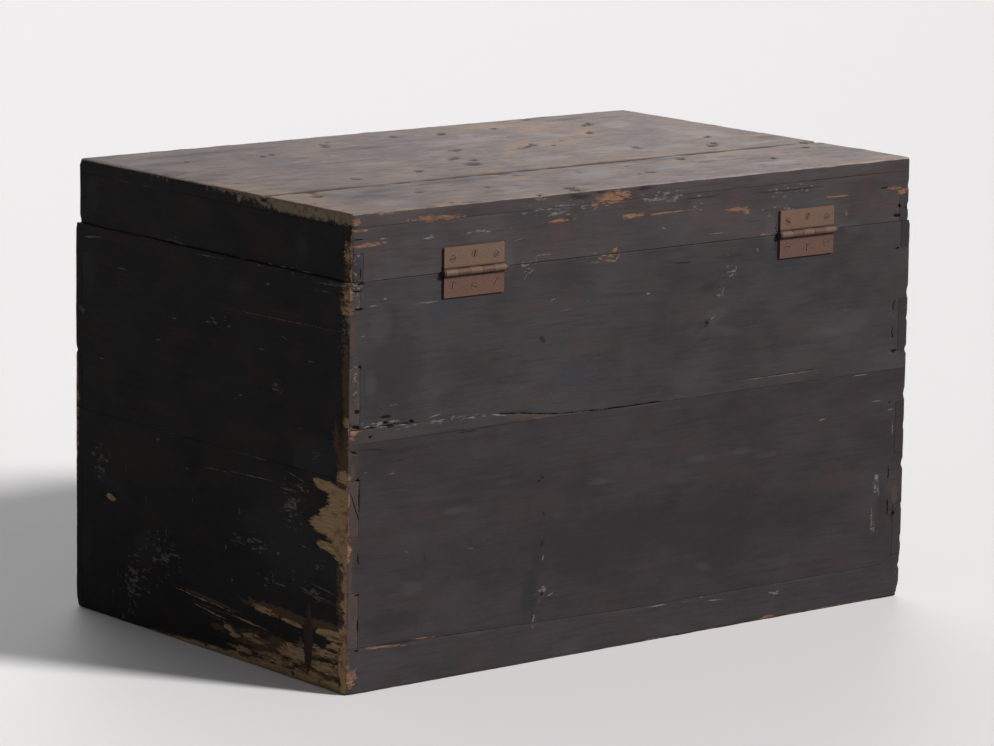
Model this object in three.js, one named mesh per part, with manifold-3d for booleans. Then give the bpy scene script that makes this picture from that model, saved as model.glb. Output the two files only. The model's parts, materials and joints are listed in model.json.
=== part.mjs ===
// A black-painted wooden storage chest with a hinged lid. Millimetres, +Z up.
// The origin is under the middle of the bottom. The front looks along -Y, the hinges are on the back.
import * as THREE from 'three';
import { mergeVertices } from 'three/addons/utils/BufferGeometryUtils.js';
import Module from 'manifold-3d';

const wasm = await Module();
wasm.setup();

// The chest over all, without its hinges
const chestLength = 822;
const chestWidth = 520;
const chestHeight = 525;

// Base
const wallThickness = 15;
const railHeight = 51;
const fingerHeight = 61.5;
const backSeamHeight = 275;
const frontSeamHeight = 276;
const endSeamHeight = 235.5;
const bottomThickness = 12;
const bottomBoardCount = 3;

// Lid
const lidHeight = 74;
const plankThickness = 16;
const backPlankWidth = 160;
const skirtThickness = 15;
const lowFingerHeight = 30;
const lidSetBack = 3; // the lid's ends and front stand this far inside the base
const battenWidth = 42;
const battenThickness = 12;
const battenFromCentre = 170;

// Hinges
const hingeLength = 83;
const hingeFromEnd = 167; // from each end of the chest to the middle of its hinge
const leafWidth = 27.5; // from the pin's axis to the edge of a leaf
const leafThickness = 2.6;
const knuckleRadius = 3.8;
const knuckleCount = 5;
const pinRadius = 2;
const pinHeadRadius = 3.7;
const pinHeadLength = 2.4;

// Screws, three in each leaf
const screwHeadRadius = 4;
const screwShankRadius = 2;
const screwLength = 11;
const screwTipRadius = 0.5;
const screwTipLength = 3;
const slotWidth = 1.1;
const slotDepth = 0.9;
const screwSpacing = 30; // along the leaf, from its middle
const outerScrewRise = 14.5; // from the pin's axis
const middleScrewRise = 18;

// Nails
const nailHeadRadius = 2.6;
const nailHeadThickness = 1.2;
const nailShankRadius = 1.3;
const plankNailLength = 42;
const wallNailLength = 36;
const plankNailSpacing = 270; // along the long skirts, to each side of the middle
const railNailHeight = 30;

// Clearances
const boardGap = 0.3; // between neighbouring boards
const lidGap = 0.8; // between the shut lid and the base
const leafSeat = 0.1; // between a leaf and its board
const knuckleGap = 0.4; // between two knuckles
const pinClearance = 0.3;
const holeClearance = 0.3; // around screws and nails

// Roundness, in sides, and how far a cutter runs past what it cuts
const knuckleSides = 24;
const pinSides = 16;
const screwSides = 16;
const nailSides = 8;
const past = 1;

const baseHeight = chestHeight - lidHeight - lidGap;
const lidBottom = chestHeight - lidHeight;
const plankBottom = chestHeight - plankThickness;
const halfLength = chestLength / 2;
const halfWidth = chestWidth / 2;
const lidHalfLength = halfLength - lidSetBack;
const lidFront = -halfWidth + lidSetBack;
const pinY = halfWidth + leafSeat + knuckleRadius;
const pinZ = (baseHeight + lidBottom) / 2;

const paint = new THREE.Color(0x2b2725);
const bareWood = new THREE.Color(0x8a6f52);
const weatheredWood = new THREE.Color(0x6f6257);
const rustyIron = new THREE.Color(0x6e4331);

function finish(color, roughness, metalness = 0) {
  return new THREE.MeshStandardMaterial({ color, roughness, metalness });
}

// Geometry to solid and back

function solidOf(geometry) {
  geometry.deleteAttribute('normal');
  geometry.deleteAttribute('uv');
  const merged = mergeVertices(geometry, 1e-4);
  return new wasm.Manifold(new wasm.Mesh({
    numProp: 3,
    vertProperties: new Float32Array(merged.attributes.position.array),
    triVerts: new Uint32Array(merged.index.array),
  }));
}

function meshOf(name, solid, material) {
  const { vertProperties, triVerts } = solid.getMesh();
  const geometry = new THREE.BufferGeometry();
  geometry.setAttribute('position', new THREE.BufferAttribute(vertProperties, 3));
  geometry.setIndex(new THREE.BufferAttribute(triVerts, 1));
  geometry.computeVertexNormals();
  const mesh = new THREE.Mesh(geometry, material);
  mesh.name = name;
  return mesh;
}

// A block given by its lowest and highest corner
function block([x0, y0, z0], [x1, y1, z1]) {
  const geometry = new THREE.BoxGeometry(x1 - x0, y1 - y0, z1 - z0);
  geometry.translate((x0 + x1) / 2, (y0 + y1) / 2, (z0 + z1) / 2);
  return solidOf(geometry);
}

// A turned solid: its profile's points are [radius, distance from the head], and it points along direction
function turned(profile, segments, place, direction) {
  const points = profile.map(([radius, along]) => new THREE.Vector2(radius, along));
  const geometry = new THREE.LatheGeometry(points, segments);
  const upright = new THREE.Vector3(0, 1, 0);
  geometry.applyQuaternion(new THREE.Quaternion().setFromUnitVectors(upright, direction));
  geometry.translate(...place);
  return solidOf(geometry);
}

// A rod along X
function rod(radius, segments, x0, x1, y, z) {
  const geometry = new THREE.CylinderGeometry(radius, radius, x1 - x0, segments);
  geometry.rotateZ(Math.PI / 2);
  geometry.translate((x0 + x1) / 2, y, z);
  return solidOf(geometry);
}

// Corner fingers

// The base's fingers, from the rail up. The end walls have the first, the long walls the next, and so on.
function baseFingers() {
  const fingers = [{ low: 0, high: railHeight, owner: 'long' }];
  for (let low = railHeight, i = 0; low < baseHeight; low += fingerHeight, i += 1) {
    const high = Math.min(low + fingerHeight, baseHeight);
    fingers.push({ low, high, owner: i % 2 === 0 ? 'end' : 'long' });
  }
  return fingers;
}

// The lid's two fingers: the end skirts have the low one, the long skirts the high one
function lidFingers() {
  const middle = lidBottom + lowFingerHeight;
  return [
    { low: lidBottom, high: middle, owner: 'end' },
    { low: middle, high: plankBottom, owner: 'long' },
  ];
}

// Cuts the sockets for the neighbours' fingers into both ends of a wall, which runs along X or Y from one
// end to the other and lies between two faces. A socket is as deep as the neighbouring wall is thick.
function cutSockets(wall, { fingers, owner, along, ends, faces, depth }) {
  const corner = (run, across, z) => (along === 'x' ? [run, across, z] : [across, run, z]);
  const inner = depth + boardGap;
  const spans = [[ends[0] - past, ends[0] + inner], [ends[1] - inner, ends[1] + past]];
  const sockets = fingers.filter((finger) => finger.owner !== owner).flatMap(({ low, high }) =>
    spans.map((span) => block(
      corner(span[0], faces[0] - past, low - boardGap / 2),
      corner(span[1], faces[1] + past, high + boardGap / 2),
    )));
  return sockets.reduce((left, socket) => left.subtract(socket), wall);
}

// The two faces of a board, in order, from its outer face and the way to the inside
function facesOf(outer, thickness) {
  return outer > 0 ? [outer - thickness, outer] : [outer, outer + thickness];
}

// A board of the front or back wall between two heights
function longBoard(low, high, outer) {
  const faces = facesOf(outer, wallThickness);
  const ends = [-halfLength, halfLength];
  const board = block([ends[0], faces[0], low], [ends[1], faces[1], high]);
  return cutSockets(board,
    { fingers: baseFingers(), owner: 'long', along: 'x', ends, faces, depth: wallThickness });
}

// A board of an end wall between two heights
function endBoard(low, high, outer) {
  const faces = facesOf(outer, wallThickness);
  const ends = [-halfWidth, halfWidth];
  const board = block([faces[0], ends[0], low], [faces[1], ends[1], high]);
  return cutSockets(board,
    { fingers: baseFingers(), owner: 'end', along: 'y', ends, faces, depth: wallThickness });
}

// The lid's front or back skirt
function longSkirt(outer) {
  const faces = facesOf(outer, skirtThickness);
  const ends = [-lidHalfLength, lidHalfLength];
  const skirt = block([ends[0], faces[0], lidBottom], [ends[1], faces[1], plankBottom - boardGap]);
  return cutSockets(skirt,
    { fingers: lidFingers(), owner: 'long', along: 'x', ends, faces, depth: skirtThickness });
}

// The lid's skirt at one end
function endSkirt(outer) {
  const faces = facesOf(outer, skirtThickness);
  const ends = [lidFront, halfWidth];
  const skirt = block([faces[0], ends[0], lidBottom], [faces[1], ends[1], plankBottom - boardGap]);
  return cutSockets(skirt,
    { fingers: lidFingers(), owner: 'end', along: 'y', ends, faces, depth: skirtThickness });
}

// Fasteners

// Profiles from the head down, wider all round by extra where they cut a hole
function screwProfile(extra) {
  return [
    [0, 0],
    [screwHeadRadius + extra, 0],
    [screwShankRadius + extra, leafThickness],
    [screwShankRadius + extra, screwLength - screwTipLength],
    [screwTipRadius + extra, screwLength + extra],
    [0, screwLength + extra],
  ];
}

function nailProfile(length, extra) {
  return [
    [0, 0],
    [nailHeadRadius + extra, 0],
    [nailHeadRadius + extra, nailHeadThickness + extra],
    [nailShankRadius + extra, nailHeadThickness + extra],
    [nailShankRadius + extra, length + extra],
    [0, length + extra],
  ];
}

const into = {
  down: new THREE.Vector3(0, 0, -1),
  fromBack: new THREE.Vector3(0, -1, 0),
  fromFront: new THREE.Vector3(0, 1, 0),
  fromRight: new THREE.Vector3(-1, 0, 0),
  fromLeft: new THREE.Vector3(1, 0, 0),
};

// A countersunk wood screw. Its slot is turned from level by an angle in degrees.
function screwSolid(place, slotAngle) {
  const slot = new THREE.BoxGeometry(2 * (screwHeadRadius + past), 2 * slotDepth, slotWidth);
  slot.rotateY(THREE.MathUtils.degToRad(slotAngle));
  slot.translate(...place);
  return turned(screwProfile(0), screwSides, place, into.fromBack).subtract(solidOf(slot));
}

function nailSolid({ place, length, direction }) {
  return turned(nailProfile(length, 0), nailSides, place, direction);
}

// The hole for a fastener, open past its head
function holeFor(profile, segments, place, direction) {
  const open = [[0, -past], [profile[1][0], -past], ...profile.slice(1)];
  return turned(open, segments, place, direction);
}

// Hinges

const hinges = [
  { side: 'right', x: halfLength - hingeFromEnd, slots: [35, 70, 10, 55, -20, 80] },
  { side: 'left', x: hingeFromEnd - halfLength, slots: [0, 65, -35, 15, 85, -10] },
];
const leafFace = halfWidth + leafSeat + leafThickness;

// The six screws of a hinge, three above the pin in the lid and three below it in the base
function screwPlaces(hinge) {
  return [1, -1].flatMap((up) => [-1, 0, 1].map((step) => {
    const rise = step === 0 ? middleScrewRise : outerScrewRise;
    return [hinge.x + step * screwSpacing, leafFace, pinZ + up * rise];
  }));
}

// One leaf with its share of the knuckles: the lid's leaf has the first, third and fifth
function leafSolid(hinge, up) {
  const start = hinge.x - hingeLength / 2;
  const end = hinge.x + hingeLength / 2;
  const z = [pinZ, pinZ + up * leafWidth].sort((a, b) => a - b);
  let leaf = block([start, halfWidth + leafSeat, z[0]], [end, leafFace, z[1]])
    .add(rod(knuckleRadius, knuckleSides, start, end, pinY, pinZ))
    .subtract(rod(pinRadius + pinClearance, pinSides, start - past, end + past, pinY, pinZ));
  const step = hingeLength / knuckleCount;
  const clear = knuckleRadius + knuckleGap;
  for (let i = 0; i < knuckleCount; i += 1) {
    const mine = (i % 2 === 0) === (up > 0);
    if (!mine) {
      const x0 = start + i * step - knuckleGap / 2;
      const x1 = start + (i + 1) * step + knuckleGap / 2;
      leaf = leaf.subtract(block([x0, halfWidth, pinZ - clear], [x1, pinY + clear, pinZ + clear]));
    }
  }
  const holes = screwPlaces(hinge).slice(up > 0 ? 0 : 3, up > 0 ? 3 : 6);
  return holes.reduce((left, place) =>
    left.subtract(holeFor(screwProfile(holeClearance), screwSides, place, into.fromBack)), leaf);
}

// The pin, with a low head outside each end knuckle
function pinSolid(hinge) {
  const start = hinge.x - hingeLength / 2 - pinClearance;
  const end = hinge.x + hingeLength / 2 + pinClearance;
  return rod(pinRadius, pinSides, start - pinHeadLength / 2, end + pinHeadLength / 2, pinY, pinZ)
    .add(rod(pinHeadRadius, pinSides, start - pinHeadLength, start, pinY, pinZ))
    .add(rod(pinHeadRadius, pinSides, end, end + pinHeadLength, pinY, pinZ));
}

// Nails, each with its name, its head's place, its length and the way it points

function plankNails() {
  const backRow = halfWidth - skirtThickness / 2;
  const frontRow = lidFront + skirtThickness / 2;
  const endRow = lidHalfLength - skirtThickness / 2;
  const frontPlankMiddle = (lidFront + halfWidth - backPlankWidth) / 2;
  const backPlankMiddle = halfWidth - backPlankWidth / 2;
  const spots = [
    ...[-1, 0, 1].map((step) => [step * plankNailSpacing, backRow]),
    ...[-1, 0, 1].map((step) => [step * plankNailSpacing, frontRow]),
    [endRow, backPlankMiddle], [endRow, frontPlankMiddle],
    [-endRow, backPlankMiddle], [-endRow, frontPlankMiddle],
  ];
  return spots.map(([x, y], i) => ({
    name: `lid_plank_nail_${i + 1}`,
    place: [x, y, chestHeight],
    length: plankNailLength,
    direction: into.down,
  }));
}

function railNails() {
  const x = halfLength - wallThickness / 2;
  return [
    { name: 'back_rail_nail_right', place: [x, halfWidth, railNailHeight], direction: into.fromBack },
    { name: 'back_rail_nail_left', place: [-x, halfWidth, railNailHeight], direction: into.fromBack },
    { name: 'front_rail_nail_right', place: [x, -halfWidth, railNailHeight], direction: into.fromFront },
    { name: 'front_rail_nail_left', place: [-x, -halfWidth, railNailHeight], direction: into.fromFront },
  ].map((nail) => ({ ...nail, length: wallNailLength }));
}

// Bottom boards lie between the walls, side by side
const bottomHalfLength = halfLength - wallThickness - boardGap;
const bottomHalfWidth = halfWidth - wallThickness - boardGap;
const bottomBoardWidth = (2 * bottomHalfWidth - (bottomBoardCount - 1) * boardGap) / bottomBoardCount;
const bottomBoards = Array.from({ length: bottomBoardCount }, (_, i) => {
  const low = -bottomHalfWidth + i * (bottomBoardWidth + boardGap);
  return { name: `bottom_board_${i + 1}`, low, high: low + bottomBoardWidth };
});

// One nail through each end wall into the end of each bottom board
function bottomNails() {
  return bottomBoards.flatMap(({ low, high }, i) => {
    const middle = (low + high) / 2;
    const z = bottomThickness / 2;
    return [
      { name: `bottom_nail_right_${i + 1}`, place: [halfLength, middle, z], direction: into.fromRight },
      { name: `bottom_nail_left_${i + 1}`, place: [-halfLength, middle, z], direction: into.fromLeft },
    ].map((nail) => ({ ...nail, length: wallNailLength }));
  });
}

const nails = [...plankNails(), ...railNails(), ...bottomNails()];

// Cuts the holes of all nails, and of the screws that could pass a board
function drilled(solid, screws) {
  const withNails = nails.reduce((left, { place, length, direction }) =>
    left.subtract(holeFor(nailProfile(length, holeClearance), nailSides, place, direction)), solid);
  return screws.reduce((left, place) =>
    left.subtract(holeFor(screwProfile(holeClearance), screwSides, place, into.fromBack)), withNails);
}

// The whole chest

const lidScrews = hinges.flatMap((hinge) => screwPlaces(hinge).slice(0, 3));
const baseScrews = hinges.flatMap((hinge) => screwPlaces(hinge).slice(3));

function baseGroup() {
  const group = new THREE.Group();
  const wall = () => finish(paint, 0.62);
  const add = (name, solid, material) => group.add(meshOf(name, drilled(solid, baseScrews), material));
  const low = boardGap / 2;
  const longWalls = [['back', halfWidth, backSeamHeight], ['front', -halfWidth, frontSeamHeight]];
  longWalls.forEach(([side, face, seam]) => {
    add(`${side}_bottom_rail`, longBoard(0, railHeight - low, face), wall());
    add(`${side}_lower_board`, longBoard(railHeight + low, seam - low, face), wall());
    add(`${side}_upper_board`, longBoard(seam + low, baseHeight, face), wall());
  });
  [['right', halfLength], ['left', -halfLength]].forEach(([side, face]) => {
    add(`${side}_end_lower_board`, endBoard(0, endSeamHeight - low, face), wall());
    add(`${side}_end_upper_board`, endBoard(endSeamHeight + low, baseHeight, face), wall());
  });
  bottomBoards.forEach((board) => {
    const solid = block([-bottomHalfLength, board.low, 0], [bottomHalfLength, board.high, bottomThickness]);
    add(board.name, solid, finish(bareWood, 0.8));
  });
  return group;
}

function lidGroup() {
  const group = new THREE.Group();
  const add = (name, solid, material) => group.add(meshOf(name, drilled(solid, lidScrews), material));
  const skirtMaterial = () => finish(paint, 0.62);
  const plankMaterial = () => finish(weatheredWood, 0.75);
  const seam = halfWidth - backPlankWidth;
  const planks = [
    ['lid_back_plank', seam + boardGap / 2, halfWidth],
    ['lid_front_plank', lidFront, seam - boardGap / 2],
  ];
  planks.forEach(([name, y0, y1]) => {
    add(name, block([-lidHalfLength, y0, plankBottom], [lidHalfLength, y1, chestHeight]), plankMaterial());
  });
  add('lid_back_skirt', longSkirt(halfWidth), skirtMaterial());
  add('lid_front_skirt', longSkirt(lidFront), skirtMaterial());
  add('lid_right_skirt', endSkirt(lidHalfLength), skirtMaterial());
  add('lid_left_skirt', endSkirt(-lidHalfLength), skirtMaterial());
  [['right', 1], ['left', -1]].forEach(([side, sign]) => {
    const x = sign * battenFromCentre;
    const top = plankBottom - boardGap;
    const solid = block([x - battenWidth / 2, lidFront + skirtThickness + boardGap, top - battenThickness],
      [x + battenWidth / 2, halfWidth - skirtThickness - boardGap, top]);
    add(`lid_batten_${side}`, solid, finish(bareWood, 0.8));
  });
  return group;
}

function hingeGroup() {
  const group = new THREE.Group();
  const iron = () => finish(rustyIron, 0.7, 0.5);
  hinges.forEach((hinge) => {
    group.add(meshOf(`${hinge.side}_hinge_lid_leaf`, leafSolid(hinge, 1), iron()));
    group.add(meshOf(`${hinge.side}_hinge_base_leaf`, leafSolid(hinge, -1), iron()));
    group.add(meshOf(`${hinge.side}_hinge_pin`, pinSolid(hinge), iron()));
    screwPlaces(hinge).forEach((place, i) => {
      const leaf = i < 3 ? 'lid' : 'base';
      const name = `${hinge.side}_hinge_${leaf}_screw_${(i % 3) + 1}`;
      group.add(meshOf(name, screwSolid(place, hinge.slots[i]), iron()));
    });
  });
  return group;
}

function nailGroup() {
  const group = new THREE.Group();
  nails.forEach((nail) => group.add(meshOf(nail.name, nailSolid(nail), finish(rustyIron, 0.7, 0.5))));
  return group;
}

const chest = new THREE.Group();
chest.add(baseGroup(), lidGroup(), hingeGroup(), nailGroup());

export default chest;
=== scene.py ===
import json
import math
import random

import bmesh
import bpy
import numpy as np
from mathutils import Matrix, Vector


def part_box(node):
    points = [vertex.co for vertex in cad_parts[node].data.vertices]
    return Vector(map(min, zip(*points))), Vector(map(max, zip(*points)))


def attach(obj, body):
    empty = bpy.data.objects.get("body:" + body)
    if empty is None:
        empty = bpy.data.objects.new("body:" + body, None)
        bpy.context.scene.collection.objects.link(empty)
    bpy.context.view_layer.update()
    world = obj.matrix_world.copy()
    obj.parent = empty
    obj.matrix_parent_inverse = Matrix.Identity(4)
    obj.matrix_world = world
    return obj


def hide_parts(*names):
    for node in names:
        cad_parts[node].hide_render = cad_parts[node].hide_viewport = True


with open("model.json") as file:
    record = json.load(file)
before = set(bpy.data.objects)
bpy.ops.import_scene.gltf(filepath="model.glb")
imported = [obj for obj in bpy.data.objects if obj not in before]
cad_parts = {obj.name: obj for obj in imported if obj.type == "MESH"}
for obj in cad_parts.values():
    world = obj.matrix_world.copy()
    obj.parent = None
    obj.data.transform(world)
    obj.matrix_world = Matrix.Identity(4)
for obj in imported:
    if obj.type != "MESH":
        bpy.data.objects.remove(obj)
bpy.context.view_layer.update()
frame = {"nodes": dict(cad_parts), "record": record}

nodes = frame["nodes"]
record = frame["record"]
slotOf = {part["node"]: part["material_slot"] for part in record["subparts"]}
bodyOf = {name: body for body, names in record["behaviour"]["bodies"].items() for name in names}
woodSlots = ("black_paint", "weathered_planks", "bare_wood")
boards = [name for name in slotOf if slotOf[name] in woodSlots]


def spanOf(names):
    corners = [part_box(name) for name in names]
    lows = np.array([list(low) for low, high in corners])
    highs = np.array([list(high) for low, high in corners])
    return lows.min(axis=0), highs.max(axis=0)


bodyBox = {body: spanOf([name for name in boards if bodyOf[name] == body]) for body in ("base", "lid")}
chestLow, chestHigh = spanOf(boards)
chestHeight = chestHigh[2] - chestLow[2]


# Places on the chest's faces, in metres. Along the back and the top they count from the right end,
# on the right end from the back, and on the front and the left end from the left front corner.
def onBack(along, height):
    return (chestHigh[0] - along, chestHigh[1], height)


def onEnd(along, height):
    return (chestHigh[0], chestHigh[1] - along, height)


def onTop(along, fromFront):
    return (chestHigh[0] - along, chestLow[1] + fromFront, chestHigh[2])


def onFront(along, height):
    return (chestLow[0] + along, chestLow[1], height)


def onLeftEnd(along, height):
    return (chestLow[0], chestLow[1] + along, height)


# Smooth noise between 0 and 1 at points, with features of a size in metres, one or three of them
def smoothNoise(points, size, seed):
    scaled = points / np.array(size)
    cell = np.floor(scaled).astype(np.int64)
    part = scaled - cell
    part = part * part * (3 - 2 * part)
    total = np.zeros(len(points))
    for corner in np.ndindex(2, 2, 2):
        key = (cell + corner) @ np.array([73856093, 19349663, 83492791]) + seed * 2654435761
        key = (key ^ (key >> 13)) * 1274126177
        value = ((key ^ (key >> 16)) & 0xFFFF) / 0xFFFF
        weight = np.prod(np.where(corner, part, 1 - part), axis=1)
        total += weight * value
    return total


def fadeIn(value, low, high):
    share = np.clip((value - low) / (high - low), 0, 1)
    return share * share * (3 - 2 * share)


# Camera, solved on the chest's corners. Distances are in chest heights.
camera = {
    "azimuth": 140.927,
    "elevation": 10.475,
    "roll": 0.859,
    "distance": 10.286,
    "aside": -0.00434,
    "up": -0.01684,
    "lens": 168.06,
}


def placeCamera():
    azimuth = math.radians(camera["azimuth"])
    elevation = math.radians(camera["elevation"])
    roll = math.radians(camera["roll"])
    back = Vector((math.sin(azimuth) * math.cos(elevation),
                   -math.cos(azimuth) * math.cos(elevation), math.sin(elevation)))
    level = Vector((0, 0, 1)).cross(back).normalized()
    upright = back.cross(level)
    right = level * math.cos(roll) + upright * math.sin(roll)
    up = upright * math.cos(roll) - level * math.sin(roll)
    middle = Vector((0, 0, chestHeight / 2))
    offset = back * camera["distance"] - right * camera["aside"] - up * camera["up"]
    data = bpy.data.cameras.new("camera")
    data.lens = camera["lens"]
    data.sensor_width = 36
    data.clip_start = 0.1
    data.clip_end = 100
    holder = bpy.data.objects.new("camera", data)
    turn = Matrix((right, up, back)).transposed().to_4x4()
    holder.matrix_world = Matrix.Translation(middle + offset * chestHeight) @ turn
    bpy.context.scene.collection.objects.link(holder)
    bpy.context.scene.camera = holder


placeCamera()
print("camera placed")


# Node helpers
def addNode(tree, kind, inputs=None, **settings):
    node = tree.nodes.new(kind)
    for name, value in settings.items():
        setattr(node, name, value)
    for key, value in (inputs or {}).items():
        if isinstance(value, bpy.types.NodeSocket):
            tree.links.new(value, node.inputs[key])
        else:
            node.inputs[key].default_value = value
    return node


def calc(tree, operation, first, second):
    return addNode(tree, "ShaderNodeMath", {0: first, 1: second}, operation=operation).outputs[0]


def mixColors(tree, share, first, second, blend="MIX"):
    node = addNode(tree, "ShaderNodeMix", {"Factor": share}, data_type="RGBA", blend_type=blend)
    for socket, value in ((node.inputs[6], first), (node.inputs[7], second)):
        if isinstance(value, bpy.types.NodeSocket):
            tree.links.new(value, socket)
        else:
            socket.default_value = (*value, 1)
    return node.outputs[2]


def ramp(tree, value, low, high, start=0.0, end=1.0):
    return addNode(tree, "ShaderNodeMapRange", {
        "Value": value, "From Min": low, "From Max": high, "To Min": start, "To Max": end,
    }, interpolation_type="SMOOTHSTEP").outputs[0]


def noise(tree, vector, size, detail, rough, spin):
    stretched = addNode(tree, "ShaderNodeMapping", {
        "Vector": vector, "Location": (spin, spin * 0.7, spin * 1.3),
        "Scale": tuple(1 / part for part in size),
    })
    return addNode(tree, "ShaderNodeTexNoise", {
        "Vector": stretched.outputs[0], "Scale": 1.0, "Detail": detail, "Roughness": rough,
    }).outputs["Fac"]


def attribute(tree, name):
    return addNode(tree, "ShaderNodeAttribute", attribute_name=name).outputs["Fac"]


# Sizes of a pattern: long along the grain and short across it
def alongGrain(axis, length, across):
    return tuple(length if i == axis else across for i in range(3))


# Noise patterns of a surface from a table of the coordinates, the size along the grain and across it, or
# along x, y and z, then detail, roughness and shift
def makePatterns(tree, table, places, axis, spin):
    made = {}
    for name, (where, size, detail, rough, shift) in table.items():
        size = alongGrain(axis, *size) if len(size) == 2 else size
        made[name] = noise(tree, places[where], size, detail, rough, spin + shift)
    return made


def startMaterial(name, color, roughness):
    material = bpy.data.materials.new(name)
    material.use_nodes = True
    tree = material.node_tree
    shader = tree.nodes["Principled BSDF"]
    shader.inputs["Base Color"].default_value = (*color, 1)
    shader.inputs["Roughness"].default_value = roughness
    material.diffuse_color = (*color, 1)
    return material, tree, shader


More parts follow.
